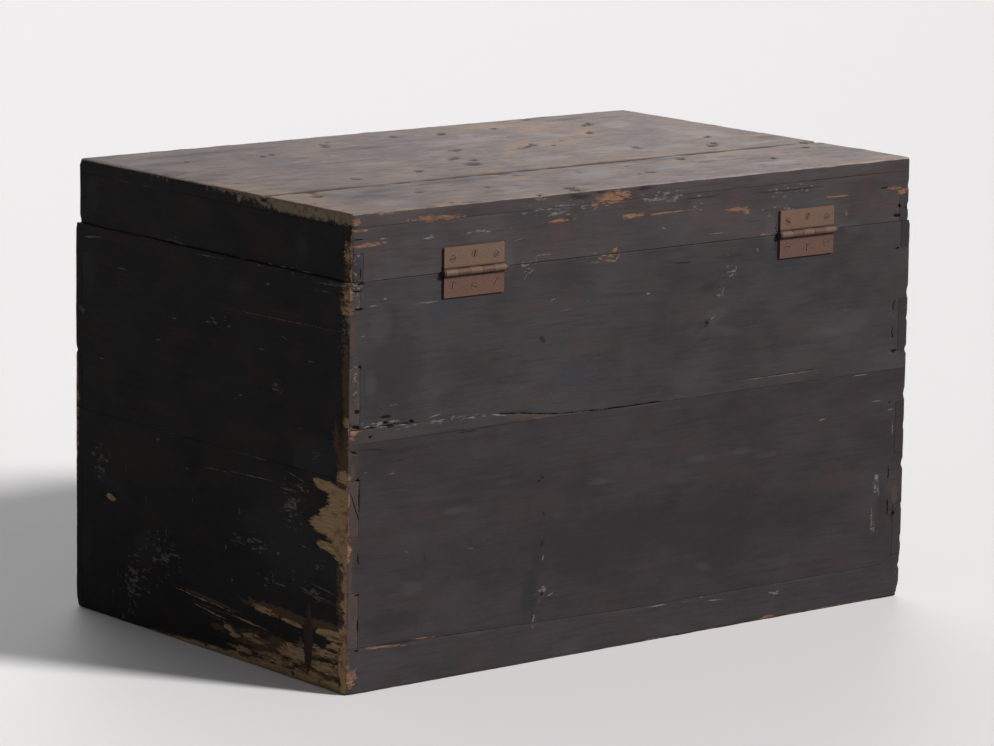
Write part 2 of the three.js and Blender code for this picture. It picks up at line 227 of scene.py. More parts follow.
# Marks on the faces. Each has its place on the face, its half length and half height in millimetres, and
# its tilt in degrees where it leans. Chips show bare wood with a broken outline, and lobes with a smooth
# one. Umber is wood with old stain, scratches are pale, stains and pits are dark, a gouge is brown, and
# kept paint lies over wear. Smudge, shade, band and tint are soft patches on the sides, with small pale
# flecks where fleck says. Pale, tan and shadow are soft patches on the top, and spots its dark places.
backMarks = {
    "fleck": [
        (46, 494, 10, 4), (106, 493, 10, 4), (160, 491, 16, 3), (242, 446, 12, 10), (440, 508, 46, 10),
        (490, 498, 8, 14), (290, 508, 60, 12), (120, 289, 110, 5, -1), (40, 294, 40, 7), (8, 450, 9, 32),
        (8, 350, 7, 30), (355, 446, 26, 10), (612, 480, 30, 8), (778, 140, 6, 16), (774, 98, 6, 18),
        (545, 415, 12, 12), (528, 392, 8, 14), (270, 80, 10, 10), (260, 52, 5, 10), (60, 242, 8, 4),
        (620, 31, 12, 3), (640, 500, 60, 8), (190, 492, 40, 3),
    ],
    "chip": [
        (115, 511, 40, 4, -1), (362, 513.5, 30, 8.5, -6), (290, 494, 22, 2, 1), (395, 491, 19, 3.6, 2),
        (452, 490.5, 36, 1.2), (552, 484.5, 22, 2.4, -3), (562, 483, 7, 5.5), (348, 446.5, 4, 1, -10),
        (361, 448, 6, 2.4, 14), (369, 454, 4.5, 2.6, 30), (373, 446, 1.6, 5, -20), (12, 506, 15, 1.6, -2),
        (20, 489.5, 23, 2.8), (703, 487.5, 30, 1.2, -1), (795, 490, 15, 2), (593, 452.6, 8, 1.2, 2),
        (583, 436, 2.2, 2.2), (720, 466, 1.8, 3.4, 10), (50, 48.2, 32, 2.2, -3), (105, 50, 26, 1.2, -1),
        (6, 20, 8, 14), (610, 3, 14, 3), (510, 40, 3, 1), (262, 277.2, 12, 0.7, -2), (8, 515, 8, 4),
        (817, 487, 6, 4), (20, 392, 3, 1.4), (7.1, 290.1, 8, 6), (5.1, 283.1, 4, 4), (807.8, 485.2, 7, 5),
        (262, 520, 10, 1.8), (378, 516.5, 14, 6, -8), (340, 508, 10, 2.4, 6),
    ],
    "umber": [
        (4, 120, 4, 60), (6, 222, 4, 40), (809, 125, 6, 14), (5, 392, 4, 22), (6.6, 488.7, 7, 5),
        (8.5, 435.1, 9, 8), (8.4, 422.2, 8, 6), (801.8, 476.2, 8, 14), (766.2, 510, 40, 5),
        (637.3, 505.9, 50, 3), (362, 449, 18, 10, 10), (248, 279.6, 50, 3.4, -4),
    ],
    "scratch": [
        (440, 39.6, 18, 0.6), (484, 38.6, 5, 0.8, 4), (528, 34.6, 14, 0.6, -4), (620, 30.5, 9, 1.2, -12),
        (620, 286.6, 60, 0.4), (750, 273.4, 14, 0.6, 1), (104, 420.6, 18, 0.7), (273, 118, 1.1, 4, -25),
        (274, 82, 3, 4, 40), (260, 50, 1.4, 5, -20), (281, 407, 4, 0.8, 12), (283, 74, 5, 0.9, 20),
        (169, 141.6, 5, 0.7, -3), (81, 149, 3, 0.8, -20), (689, 227, 5, 0.9, 5), (779, 148, 3.4, 5),
        (783, 131, 1, 6, 6), (773, 100, 0.8, 14), (531, 394, 0.8, 5, -30), (549, 417, 1.1, 4.5, -8),
        (516, 364, 5, 0.8, 30), (43.3, 495.1, 4.5, 1.1), (45.3, 490.7, 5, 0.7), (103.8, 490.2, 7, 1),
        (100.6, 420.2, 16, 0.7), (241, 435.2, 3.5, 0.5, 50), (248.4, 440.7, 6.5, 0.5, 25),
        (255.4, 453.1, 5.5, 0.45, 85), (269.3, 458, 14, 0.45), (623.2, 30.2, 5, 1.2, 30),
        (25.4, 292.7, 6, 1, 8), (117.2, 295.1, 9, 0.8, 6), (73.5, 286.4, 12, 0.5, 6),
        (162.8, 287.9, 7, 1, -4), (150.9, 289.7, 12, 0.5, 2), (185.6, 288.2, 10, 0.6, -4),
        (205.4, 286.2, 12, 0.9, -8), (61.7, 312.9, 6, 0.6), (25.4, 243.2, 3, 0.6), (11.8, 479.2, 2.4, 1.6),
        (47.5, 429.8, 2.4, 1.3), (35.2, 423.7, 10, 0.6, 4), (299.9, 393.5, 10, 0.4), (418.9, 400.5, 3, 1.2),
        (331.6, 400.5, 2, 0.9), (230.7, 477.9, 8, 0.6, 10), (438.9, 473, 9, 0.6, -20),
        (518.2, 460.2, 14, 0.4), (775.4, 239.8, 8, 0.6), (803, 205, 0.7, 10), (799, 227, 6, 0.9),
    ],
    "stain": [
        # The first two stains, on the side of each hinge leaf towards the right end, are painted shadow of
        # the leaves
        (124.6, 450, 1.1, 29), (609.8, 448, 1.3, 29), (268, 362, 3.5, 4, 30), (270, 134, 3, 4),
        (268, 209, 3, 3), (272, 168, 2.5, 3), (271, 76, 3, 2.4, 20), (258, 52, 2.2, 6, 15), (130, 446, 9, 3),
        (619, 447, 7, 3.4), (618, 288, 122, 0.5), (150, 274.4, 90, 0.5), (700, 509.4, 70, 0.5),
        (470, 431, 24, 1.2, -4), (106, 140, 0.8, 9), (805, 100, 3.4, 9), (266.1, 363.7, 5, 4, 30),
        (507, 358.9, 6, 5, 20), (31.8, 267.3, 24, 1.6, -6), (165.7, 272.3, 20, 1.2), (69.5, 251.2, 8, 1),
        (627.3, 500.9, 70, 1.2), (498.4, 502.9, 40, 1), (318, 518, 20, 4, -4), (346, 521, 12, 2.4),
        (412, 520, 16, 2.6), (42, 450.6, 28, 0.5), (300, 450.6, 60, 0.35), (500, 450.6, 100, 0.4),
        (100, 450.6, 40, 0.5), (130, 48.6, 110, 0.5, -1.6), (66, 49.4, 50, 1.4, -2),
    ],
    "pit": [
        (10, 206, 0.8, 20, 20), (808, 102, 2.6, 2.2), (816, 466, 5, 1.4), (52.8, 301.5, 5.5, 0.9, 4),
        (49.8, 294.6, 3.2, 1.6), (58.7, 289.6, 5, 1.1, 4), (85.9, 291.6, 1.5, 1.9), (11.1, 293.6, 6, 2, -12),
        (29.5, 281.2, 2.4, 1.5), (7.1, 266.7, 5, 1, -20), (10.6, 310.9, 3.2, 2.2), (14.5, 459.9, 1, 6),
        (14.4, 448.5, 5, 1.4), (11.4, 441, 7, 1), (12.4, 421.7, 7, 1.2), (15.2, 358.6, 2, 2),
        (14.9, 235.5, 3, 1.2), (14.9, 215.6, 0.8, 14), (14.7, 150.1, 0.9, 8), (13.6, 110.3, 4, 1),
        (13.5, 48.8, 3, 1.3), (14.5, 75.6, 1, 8), (778, 491.1, 6, 1, 3), (799.8, 457.3, 6, 2.2),
        (803.7, 468.3, 4, 1.2), (801.6, 418.6, 3, 1.2), (801.3, 296.5, 4, 2), (798.4, 319.3, 1.2, 8),
        (799.5, 349.1, 1, 9), (797.9, 110.8, 1.2, 12), (798, 150.5, 1, 10), (797.2, 235.9, 2, 1.4),
        (264.7, 205.8, 1.4, 1.2), (271.3, 76.7, 2.2, 1.2, 30), (11.6, 496.6, 6, 0.8), (507, 358.9, 1.4, 1.2),
        (50, 301, 7, 1.7, 4), (58, 291, 7, 1.8, 4), (85, 292, 3, 2.4), (12, 311, 4, 2.6),
    ],
    "smudge": [
        (148, 187, 22, 5), (88, 108, 22, 9), (350, 195, 26, 5), (498, 203, 24, 6), (560, 204, 30, 6),
        (536, 347, 28, 8, -8), (518, 366, 26, 12, 20), (600, 196, 30, 4), (486, 494, 10, 16),
        (440, 506, 30, 8), (168, 484, 8, 6), (510, 80, 18, 5, -14), (740, 340, 26, 14), (778, 140, 7, 18),
        (774, 95, 5, 18), (640, 505, 30, 6), (290, 505, 24, 10), (42, 400, 18, 26), (600, 455, 12, 26),
        (215, 455, 10, 20), (30, 340, 10, 20), (730, 450, 20, 10), (700, 330, 60, 8),
    ],
    "shade": [
        (420, 130, 400, 52), (60, 350, 60, 70), (7, 450, 8, 32), (7, 338, 8, 28), (268, 128, 8, 14, -14),
        (70, 75, 60, 18), (788, 112, 12, 34, 4), (510, 402, 22, 7, 10), (640, 322, 60, 4),
        (500, 357, 14, 7, 30), (60, 262, 60, 6), (540, 432, 30, 4),
    ],
    "band": [
        (254, 84, 16, 37, -14), (263, 118, 10, 20, -14),
    ],
    "tint": [
        (250, 300, 60, 10, -3), (60, 283, 60, 4, -4), (590, 326, 20, 6), (748, 490, 14, 18),
        (270, 400, 90, 14), (7, 250, 9, 200), (720, 150, 90, 16), (40, 505, 50, 12), (330, 350, 80, 12),
    ],
}
endMarks = {
    "fleck": [
        (100, 190, 28, 36), (80, 212, 30, 8, -10), (175, 138, 45, 14), (60, 105, 45, 14), (140, 104, 24, 14),
        (402, 52, 34, 40), (345, 90, 40, 36), (470, 180, 20, 30), (240, 376, 30, 8), (120, 450, 70, 5),
        (60, 256, 14, 10), (60, 30, 60, 26), (200, 28, 26, 12), (330, 455, 40, 4), (10, 400, 10, 50),
        (130, 320, 20, 8), (50, 135, 20, 8),
    ],
    "chip": [
        (165, 31, 30, 6), (130, 16, 40, 7), (40, 40, 44, 6, -3), (36, 24, 40, 8), (96, 28, 30, 12),
        (150, 66, 24, 5, -4), (190, 14, 26, 4), (60, 12, 40, 5), (17, 50, 20, 6), (8, 480, 9, 18),
        (6, 300, 6, 8), (205, 519, 6, 3), (180, 47, 40, 1.2, -4), (262, 56, 56, 0.9, -4),
        (252, 45, 36, 0.8, -6), (4.3, 438.8, 9, 14), (5.4, 419.9, 10, 6),
    ],
    "umber": [
        (120, 69, 84, 7.5, -1), (40, 70, 50, 7), (110, 24, 118, 20, -2), (80, 8, 100, 9), (240, 30, 14, 4),
        (7, 120, 12, 42), (8, 200, 20, 52), (9, 265, 13, 36), (14, 280, 14, 22), (6, 340, 7, 60),
        (250, 58, 60, 2.4, -4), (6.2, 488.4, 12, 7), (5.2, 460.6, 12, 30), (5.3, 428.9, 12, 22),
    ],
    "scratch": [
        (490, 437, 14, 1.2, 5), (420, 451, 70, 0.5, -1), (80, 451.6, 12, 1.2), (196, 451, 12, 0.9),
        (22, 447, 22, 0.7, -3), (508, 352, 5, 3), (400, 508.4, 70, 0.5), (30, 97, 40, 0.6, -2),
        (126.7, 394.1, 108, 0.4, 1), (324.2, 366.8, 5, 0.9), (258, 371.9, 6, 1.1),
        (218.9, 373.2, 4, 1.2, 20), (157.9, 356.4, 7, 0.8), (115.7, 375.2, 6, 0.6, -10),
        (68.7, 356.4, 5, 0.9), (353.3, 338.1, 4, 0.8), (503.6, 350.1, 3, 3), (119.9, 315.6, 8, 0.5, 40),
        (178.3, 234.8, 34, 0.6), (92.2, 225.3, 20, 0.7, -12), (173.4, 212.4, 46, 0.5, 2),
        (243.5, 208.4, 28, 0.5, 1), (107.2, 209.4, 15, 1.6), (94.3, 193.5, 3, 6), (179.6, 139.5, 3, 3),
        (157.6, 134.9, 3.4, 2), (124.5, 134.9, 3, 1.5, 10), (222.7, 124, 1.8, 3), (210.8, 88.7, 1.8, 1.8),
        (134.6, 105.1, 0.7, 6), (121.6, 100.7, 12, 1), (51.5, 100.1, 32, 0.6, -2),
        (43.4, 110.6, 22, 0.8, -6), (248, 49.5, 40, 0.7, -3), (238, 39.5, 30, 0.5, -4),
        (403.9, 43.5, 0.7, 8, 8), (443.5, 25.2, 0.6, 9), (411.4, 17.5, 0.7, 10, -14),
        (372.3, 43.5, 1.8, 2.4), (326.9, 453.7, 16, 0.5), (256.8, 445.7, 30, 0.5, 1), (146.6, 429.8, 4, 0.9),
        (36.4, 444.7, 28, 0.8, 2), (48.4, 435.8, 16, 0.5), (297.6, 200.4, 3, 1.2), (327.6, 235.2, 5, 0.6),
        (354.7, 224.3, 3.5, 1.6, 30), (417.9, 180.6, 0.8, 5), (377.9, 150.8, 0.8, 5, 10),
        (287.7, 165.7, 1.3, 3), (197.5, 168.7, 1.6, 4), (74.4, 150.8, 14, 0.8, -6), (97.5, 121, 5, 0.9, -10),
        (57.4, 130.9, 3, 1.4), (338, 121, 0.8, 6), (467.6, 299.7, 6, 0.6), (427.2, 409, 8, 0.6),
        (477.2, 438.8, 12, 0.6), (197.1, 299.7, 4, 0.7, 10), (87, 279.9, 8, 0.5, -6),
    ],
    "stain": [
        (125, 50, 62, 3.4, -1), (152, 34, 14, 7), (104, 42, 20, 4), (110, 20, 14, 5, 10),
        (205, 40, 22, 3, -8), (120, 58, 60, 1.6), (32, 517, 0.7, 7), (124, 517, 0.7, 7), (208, 512, 0.9, 9),
        (90, 510, 60, 1.2), (20, 60, 14, 2), (58, 30, 8, 3), (20, 36, 18, 1.6), (70, 20, 12, 2),
        (82.8, 14.7, 17, 3.5, -15), (35.7, 13.7, 11, 4, -5), (11.7, 11.7, 4, 7), (37.7, 32.6, 13, 1.8, -5),
        (59.7, 39.5, 9, 3), (178, 19.7, 12, 3), (5.3, 444.7, 5, 3), (2.3, 430.8, 7, 2), (10.4, 413, 6, 3),
        (7.1, 490.4, 4, 4), (13.8, 299.7, 9, 40), (6, 504, 7, 4), (4, 470, 4, 9), (8, 456, 6, 3),
    ],
    "gouge": [
        (70, 50, 8.5, 41),
    ],
    "kept": [
        (188, 510, 15, 11), (226, 511, 13, 11), (262, 512, 40, 11), (318, 514, 60, 12), (430, 516, 100, 14),
        (306, 522, 74, 10), (118, 503, 30, 3.5), (206, 506, 5, 3),
    ],
    "lobe": [
        (34, 224, 34, 8, -5), (14, 216, 26, 12), (30, 196, 30, 14, 22), (48, 180, 24, 11, -8),
        (20, 185, 30, 24), (30, 158, 30, 7, -6), (12, 160, 22, 18), (24, 208, 18, 8), (8, 239, 18, 9),
        (75, 517, 90, 9.5), (20, 516, 30, 10), (160, 518, 14, 6), (206, 516, 6, 7), (200, 523.5, 44, 2.2),
        (150, 3, 210, 4.2), (40, 6, 60, 7), (216, 33, 13, 4.5, -12), (206, 27, 12, 3, 4),
        (448, 141, 12, 4.2, -6), (100, 62, 26, 3, -4), (30, 62, 30, 7),
    ],
    "tint": [
        (440, 444, 62, 7, -3), (120, 398, 60, 12), (310, 352, 50, 7), (280, 498, 26, 14),
        (340, 260, 50, 10, -8), (90, 268, 40, 12), (400, 200, 60, 30), (170, 260, 60, 10),
    ],
    "smudge": [
        (490, 488, 20, 34), (492, 398, 18, 36), (88, 480, 18, 20), (16, 295, 10, 12),
        (110, 150, 120, 60, -8), (60, 250, 60, 30), (498, 80, 14, 40), (200, 420, 30, 10), (380, 96, 30, 26),
        (455, 160, 40, 12, -10),
    ],
}
topMarks = {
    "spot": [
        (297, 78, 13.1, 7.2, -55), (306, 64, 8.2, 5.8, -45), (322, 49, 7.4, 4.3, -50),
        (185, 108, 9, 5.8, -50), (203, 101, 8.2, 5.8, -50), (176, 96, 5.7, 4.3, -20),
        (418, 52, 10.7, 7.2, -55), (482, 62, 10.7, 7.2, -50), (472, 70, 5.7, 4.3, -20),
        (652, 14, 12.3, 8.7, -50), (690, 88, 13.9, 8.7, -50), (676, 97, 9, 7.2, -50),
        (405, 183, 11.5, 10.2, -30), (362, 238, 18, 8.7, -40), (352, 286, 19.7, 13, -55),
        (372, 262, 10.7, 7.2, -50), (168, 308, 12.3, 8.7, -50), (262, 301, 10.7, 7.2, -50),
        (500, 204, 15.6, 8.7, -30), (515, 196, 12.3, 7.2, -50), (485, 210, 9, 5.8, -30),
        (532, 214, 7.4, 5.8, -50), (570, 184, 8.2, 5.8, -40), (598, 288, 9, 8.7, -55),
        (602, 274, 6.6, 5.8, -50), (690, 316, 15.6, 8.7, -45), (703, 303, 9, 7.2, -40),
        (50, 393, 14.8, 8.7, -55), (61, 372, 10.7, 7.2, -50), (163, 427, 11.5, 7.2, -50), (155, 370, 15, 4),
        (248, 441, 7.4, 8.7, -50), (480, 448, 9, 10.2, -50), (462, 451, 9.8, 5.8, -50),
        (675, 440, 9, 5.8, -45), (327, 372, 10, 7), (336, 386, 9.8, 5.8, 45), (322, 495, 11.5, 10.2, -50),
        (315, 511, 9.8, 8.7, -50), (800, 356, 13.1, 8.7, -40), (775, 386, 14.8, 7.2, -50),
        (580, 386, 13.1, 7.2, -50), (487, 398, 7.4, 4.3, -40), (410, 405, 6.6, 4.3, -50),
        (30, 262, 16, 6, 10), (565, 60, 7.4, 7.2, -40), (260, 516, 5.7, 5.8, -50), (88, 95, 6.6, 4.3, -50),
        (735, 255, 11.5, 5.8, -50), (640, 150, 19.7, 5.8, -55),
    ],
    "tan": [
        (575, 42, 92, 26, -8), (600, 90, 62, 28, -45), (640, 142, 50, 22, -50), (500, 190, 60, 22, -35),
        (450, 236, 42, 13, -40), (562, 200, 52, 20, -20), (205, 161, 27, 11, -20), (25, 300, 34, 40),
        (70, 318, 40, 14), (32, 350, 26, 16), (250, 297, 20, 8, -50), (105, 300, 28, 13),
        (150, 505, 60, 13, -30), (235, 510, 62, 10), (20, 480, 24, 40), (330, 345, 38, 8),
        (367, 316, 24, 9, -50), (665, 372, 42, 18, -30), (690, 330, 26, 13, -50), (780, 392, 30, 8, -45),
        (515, 351, 160, 6), (560, 396, 42, 13), (700, 420, 22, 12, -50), (380, 20, 26, 8),
        (320, 410, 26, 12, -50), (800, 505, 26, 12),
    ],
    "pale": [
        (715, 112, 42, 24, -30), (560, 280, 72, 28, -10), (450, 300, 52, 22), (420, 420, 46, 32, -30),
        (470, 130, 90, 24, -10), (540, 430, 52, 24), (640, 470, 52, 18), (750, 230, 42, 48),
        (620, 300, 60, 18), (250, 226, 72, 14), (105, 254, 42, 9), (640, 369, 180, 2.4), (750, 330, 52, 14),
        (80, 475, 42, 24), (360, 200, 60, 12, -30), (600, 350, 190, 2.4), (490, 100, 40, 14, -50),
        (260, 470, 40, 16, -50),
    ],
    "shadow": [
        (15, 150, 34, 58), (42, 200, 42, 17), (230, 198, 155, 3.2), (22, 230, 26, 18), (92, 425, 46, 19),
        (150, 50, 140, 14), (60, 400, 32, 26, -50), (330, 110, 72, 18), (130, 398, 42, 18),
        (240, 384, 92, 13), (60, 100, 62, 18), (700, 40, 52, 14), (112, 436, 18, 8), (520, 375, 90, 8),
        (790, 300, 26, 20),
    ],
}
markDepth = 0.006  # how deep under its face a mark still shows


# The front and the left end aren't seen in the photograph, so they get a scatter of marks like those of the
# back. Most chips are along the foot, under the lid's upper edge and beside the corners.
scatterLook = {
    "kinds": (  # kind, how many, half length and half height
        ("chip", 11, 15, 2.2), ("umber", 3, 30, 6), ("scratch", 26, 12, 0.7), ("stain", 6, 14, 3),
        ("fleck", 12, 34, 9), ("smudge", 9, 36, 14), ("shade", 4, 90, 26), ("tint", 6, 60, 16),
    ),
    "edgeHeights": (4, 9, 48, 508, 515),
    "edgeChips": 9,
    "cornerChips": 8,
}


def scatterMarks(length, seed):
    draw = random.Random(seed)
    marks = {}
    for kind, count, halfLong, halfHigh in scatterLook["kinds"]:
        marks[kind] = [(draw.uniform(10, length - 10), draw.uniform(12, 515),
                        halfLong * draw.uniform(0.4, 1.4), halfHigh * draw.uniform(0.6, 1.4),
                        draw.uniform(-8, 8)) for _ in range(count)]
    marks["chip"] += [(draw.uniform(20, length - 20), draw.choice(scatterLook["edgeHeights"]),
                       draw.uniform(12, 44), draw.uniform(1.2, 4.5), draw.uniform(-3, 3))
                      for _ in range(scatterLook["edgeChips"])]
    marks["chip"] += [(draw.choice((6, length - 6)), draw.uniform(20, 500), draw.uniform(5, 9),
                       draw.uniform(3, 12)) for _ in range(scatterLook["cornerChips"])]
    return marks


# A crack as a chain of thin marks along its course
def crackMarks(course, halfHigh, fade=1.0):
    marks = []
    for (startX, startY), (endX, endY) in zip(course, course[1:]):
        length = math.hypot(endX - startX, endY - startY)
        tilt = math.degrees(math.atan2(endY - startY, endX - startX))
        marks.append(((startX + endX) / 2, (startY + endY) / 2, length * 0.56, halfHigh, tilt))
        halfHigh *= fade
    return marks


# The crack in the back, open, closed and open again and thinning out: kind, half height, fade and course
backCrack = (
    ("pit", 0.55, 1.0, [(2, 291), (20, 290.5), (44, 291.5), (62, 292), (84, 290.6)]),
    ("stain", 0.7, 1.0, [(84, 290.6), (118, 291), (160, 289), (205, 287)]),
    ("pit", 0.62, 0.94, [(205, 287), (236, 284.4), (257, 281.6), (276, 279), (294, 277.4), (322, 276.6),
                         (352, 275.8), (396, 275.1), (412, 275.1), (441, 275.4)]),
)
topCrack = [(40, 199), (120, 198), (210, 200), (310, 196), (380, 194)]
for crackKind, crackHalf, crackFade, crackCourse in backCrack:
    backMarks[crackKind] += crackMarks(crackCourse, crackHalf, crackFade)
topMarks["shadow"] += crackMarks(topCrack, 2.0)
frontMarks = scatterMarks(length=822, seed=4)
leftEndMarks = scatterMarks(length=520, seed=9)


# Each face's marks, its places, the axis it faces along and the sense in which its marks turn
sheets = (
    (backMarks, onBack, 1, 1), (endMarks, onEnd, 0, 1), (topMarks, onTop, 2, -1),
    (frontMarks, onFront, 1, -1), (leftEndMarks, onLeftEnd, 0, 1),
)
softKinds = ("smudge", "shade", "band", "tint", "fleck", "pale", "tan", "shadow", "spot")


# The axes along and up a face that looks along an axis
def faceAxes(normal):
    return (1 if normal == 0 else 0), (1 if normal == 2 else 2)


# The sharp marks that reach a board, as (kind, centre, half sizes, turn)
def marksFor(low, high):
    found = []
    for marks, placeOn, normal, turnSign in sheets:
        run, rise = faceAxes(normal)
        sharp = [(kind, mark) for kind in marks if kind not in softKinds for mark in marks[kind]]
        for kind, (along, across, halfLong, halfHigh, *tilt) in sharp:
            centre = placeOn(along / 1000, across / 1000)
            half = [0.0, 0.0, 0.0]
            half[normal], half[run], half[rise] = markDepth, halfLong / 1000, halfHigh / 1000
            reach = max(halfLong, halfHigh) / 1000
            turn = [0.0, 0.0, 0.0]
            turn[normal] = math.radians(sum(tilt)) * turnSign
            if all(low[i] - reach < centre[i] < high[i] + reach for i in range(3)):
                found.append((kind, centre, half, turn))
    return found


# How far a point is from the nearest mark of one kind, with 1 on the mark's outline
def markDistance(tree, vector, marks, kind):
    distance = None
    for markKind, centre, half, turn in marks:
        if markKind != kind:
            continue
        local = addNode(tree, "ShaderNodeMapping", {
            "Vector": vector, "Location": centre, "Rotation": turn, "Scale": half,
        }, vector_type="TEXTURE")
        length = addNode(tree, "ShaderNodeVectorMath", {0: local.outputs[0]}, operation="LENGTH")
        reach = length.outputs["Value"]
        distance = reach if distance is None else calc(tree, "MINIMUM", distance, reach)
    return distance


# Coordinates shifted by noise, so that outlines come out ragged along the grain
def raggedPlace(tree, place, axis, along, across, size, spin):
    shift = addNode(tree, "ShaderNodeTexNoise", {
        "Vector": addNode(tree, "ShaderNodeMapping", {
            "Vector": place, "Location": (spin, spin, spin),
            "Scale": tuple(1 / part for part in alongGrain(axis, size * 3, size)),
        }).outputs[0],
        "Scale": 1.0, "Detail": 4.0, "Roughness": 0.65,
    }).outputs["Color"]
    centred = addNode(tree, "ShaderNodeVectorMath", {
        0: shift, 1: (0.5, 0.5, 0.5),
    }, operation="SUBTRACT").outputs[0]
    scaled = addNode(tree, "ShaderNodeVectorMath", {
        0: centred, 1: alongGrain(axis, along, across),
    }, operation="MULTIPLY").outputs[0]
    return addNode(tree, "ShaderNodeVectorMath", {0: place, 1: scaled}, operation="ADD").outputs[0]


def bumpOn(tree, shader, height, depth, strength):
    normal = addNode(tree, "ShaderNodeBump", {"Height": height, "Distance": depth, "Strength": strength})
    tree.links.new(normal.outputs[0], shader.inputs["Normal"])


# A value with noise added to it, for ragged outlines
def roughen(tree, value, pattern, amount):
    return calc(tree, "ADD", value, calc(tree, "MULTIPLY", calc(tree, "SUBTRACT", pattern, 0.5), amount))


def mixValues(tree, share, first, second):
    return addNode(tree, "ShaderNodeMix", {
        "Factor": share, "A": first, "B": second,
    }, data_type="FLOAT").outputs[0]


softEdge = {"size": (0.024, 0.024, 0.024), "detail": 5, "rough": 0.66, "amount": 1.3, "fade": (0.30, 1.05)}


# Soft patches on a face: each kind mixes in a color by a share that fades out
def softPatches(tree, color, place, look, spin):
    edge = noise(tree, place, softEdge["size"], softEdge["detail"], softEdge["rough"], spin)
    for kind, (tint, strength) in look.items():
        value = roughen(tree, attribute(tree, kind), edge, softEdge["amount"])
        color = mixColors(tree, ramp(tree, value, *softEdge["fade"], 0.0, strength), color, tint)
    return color


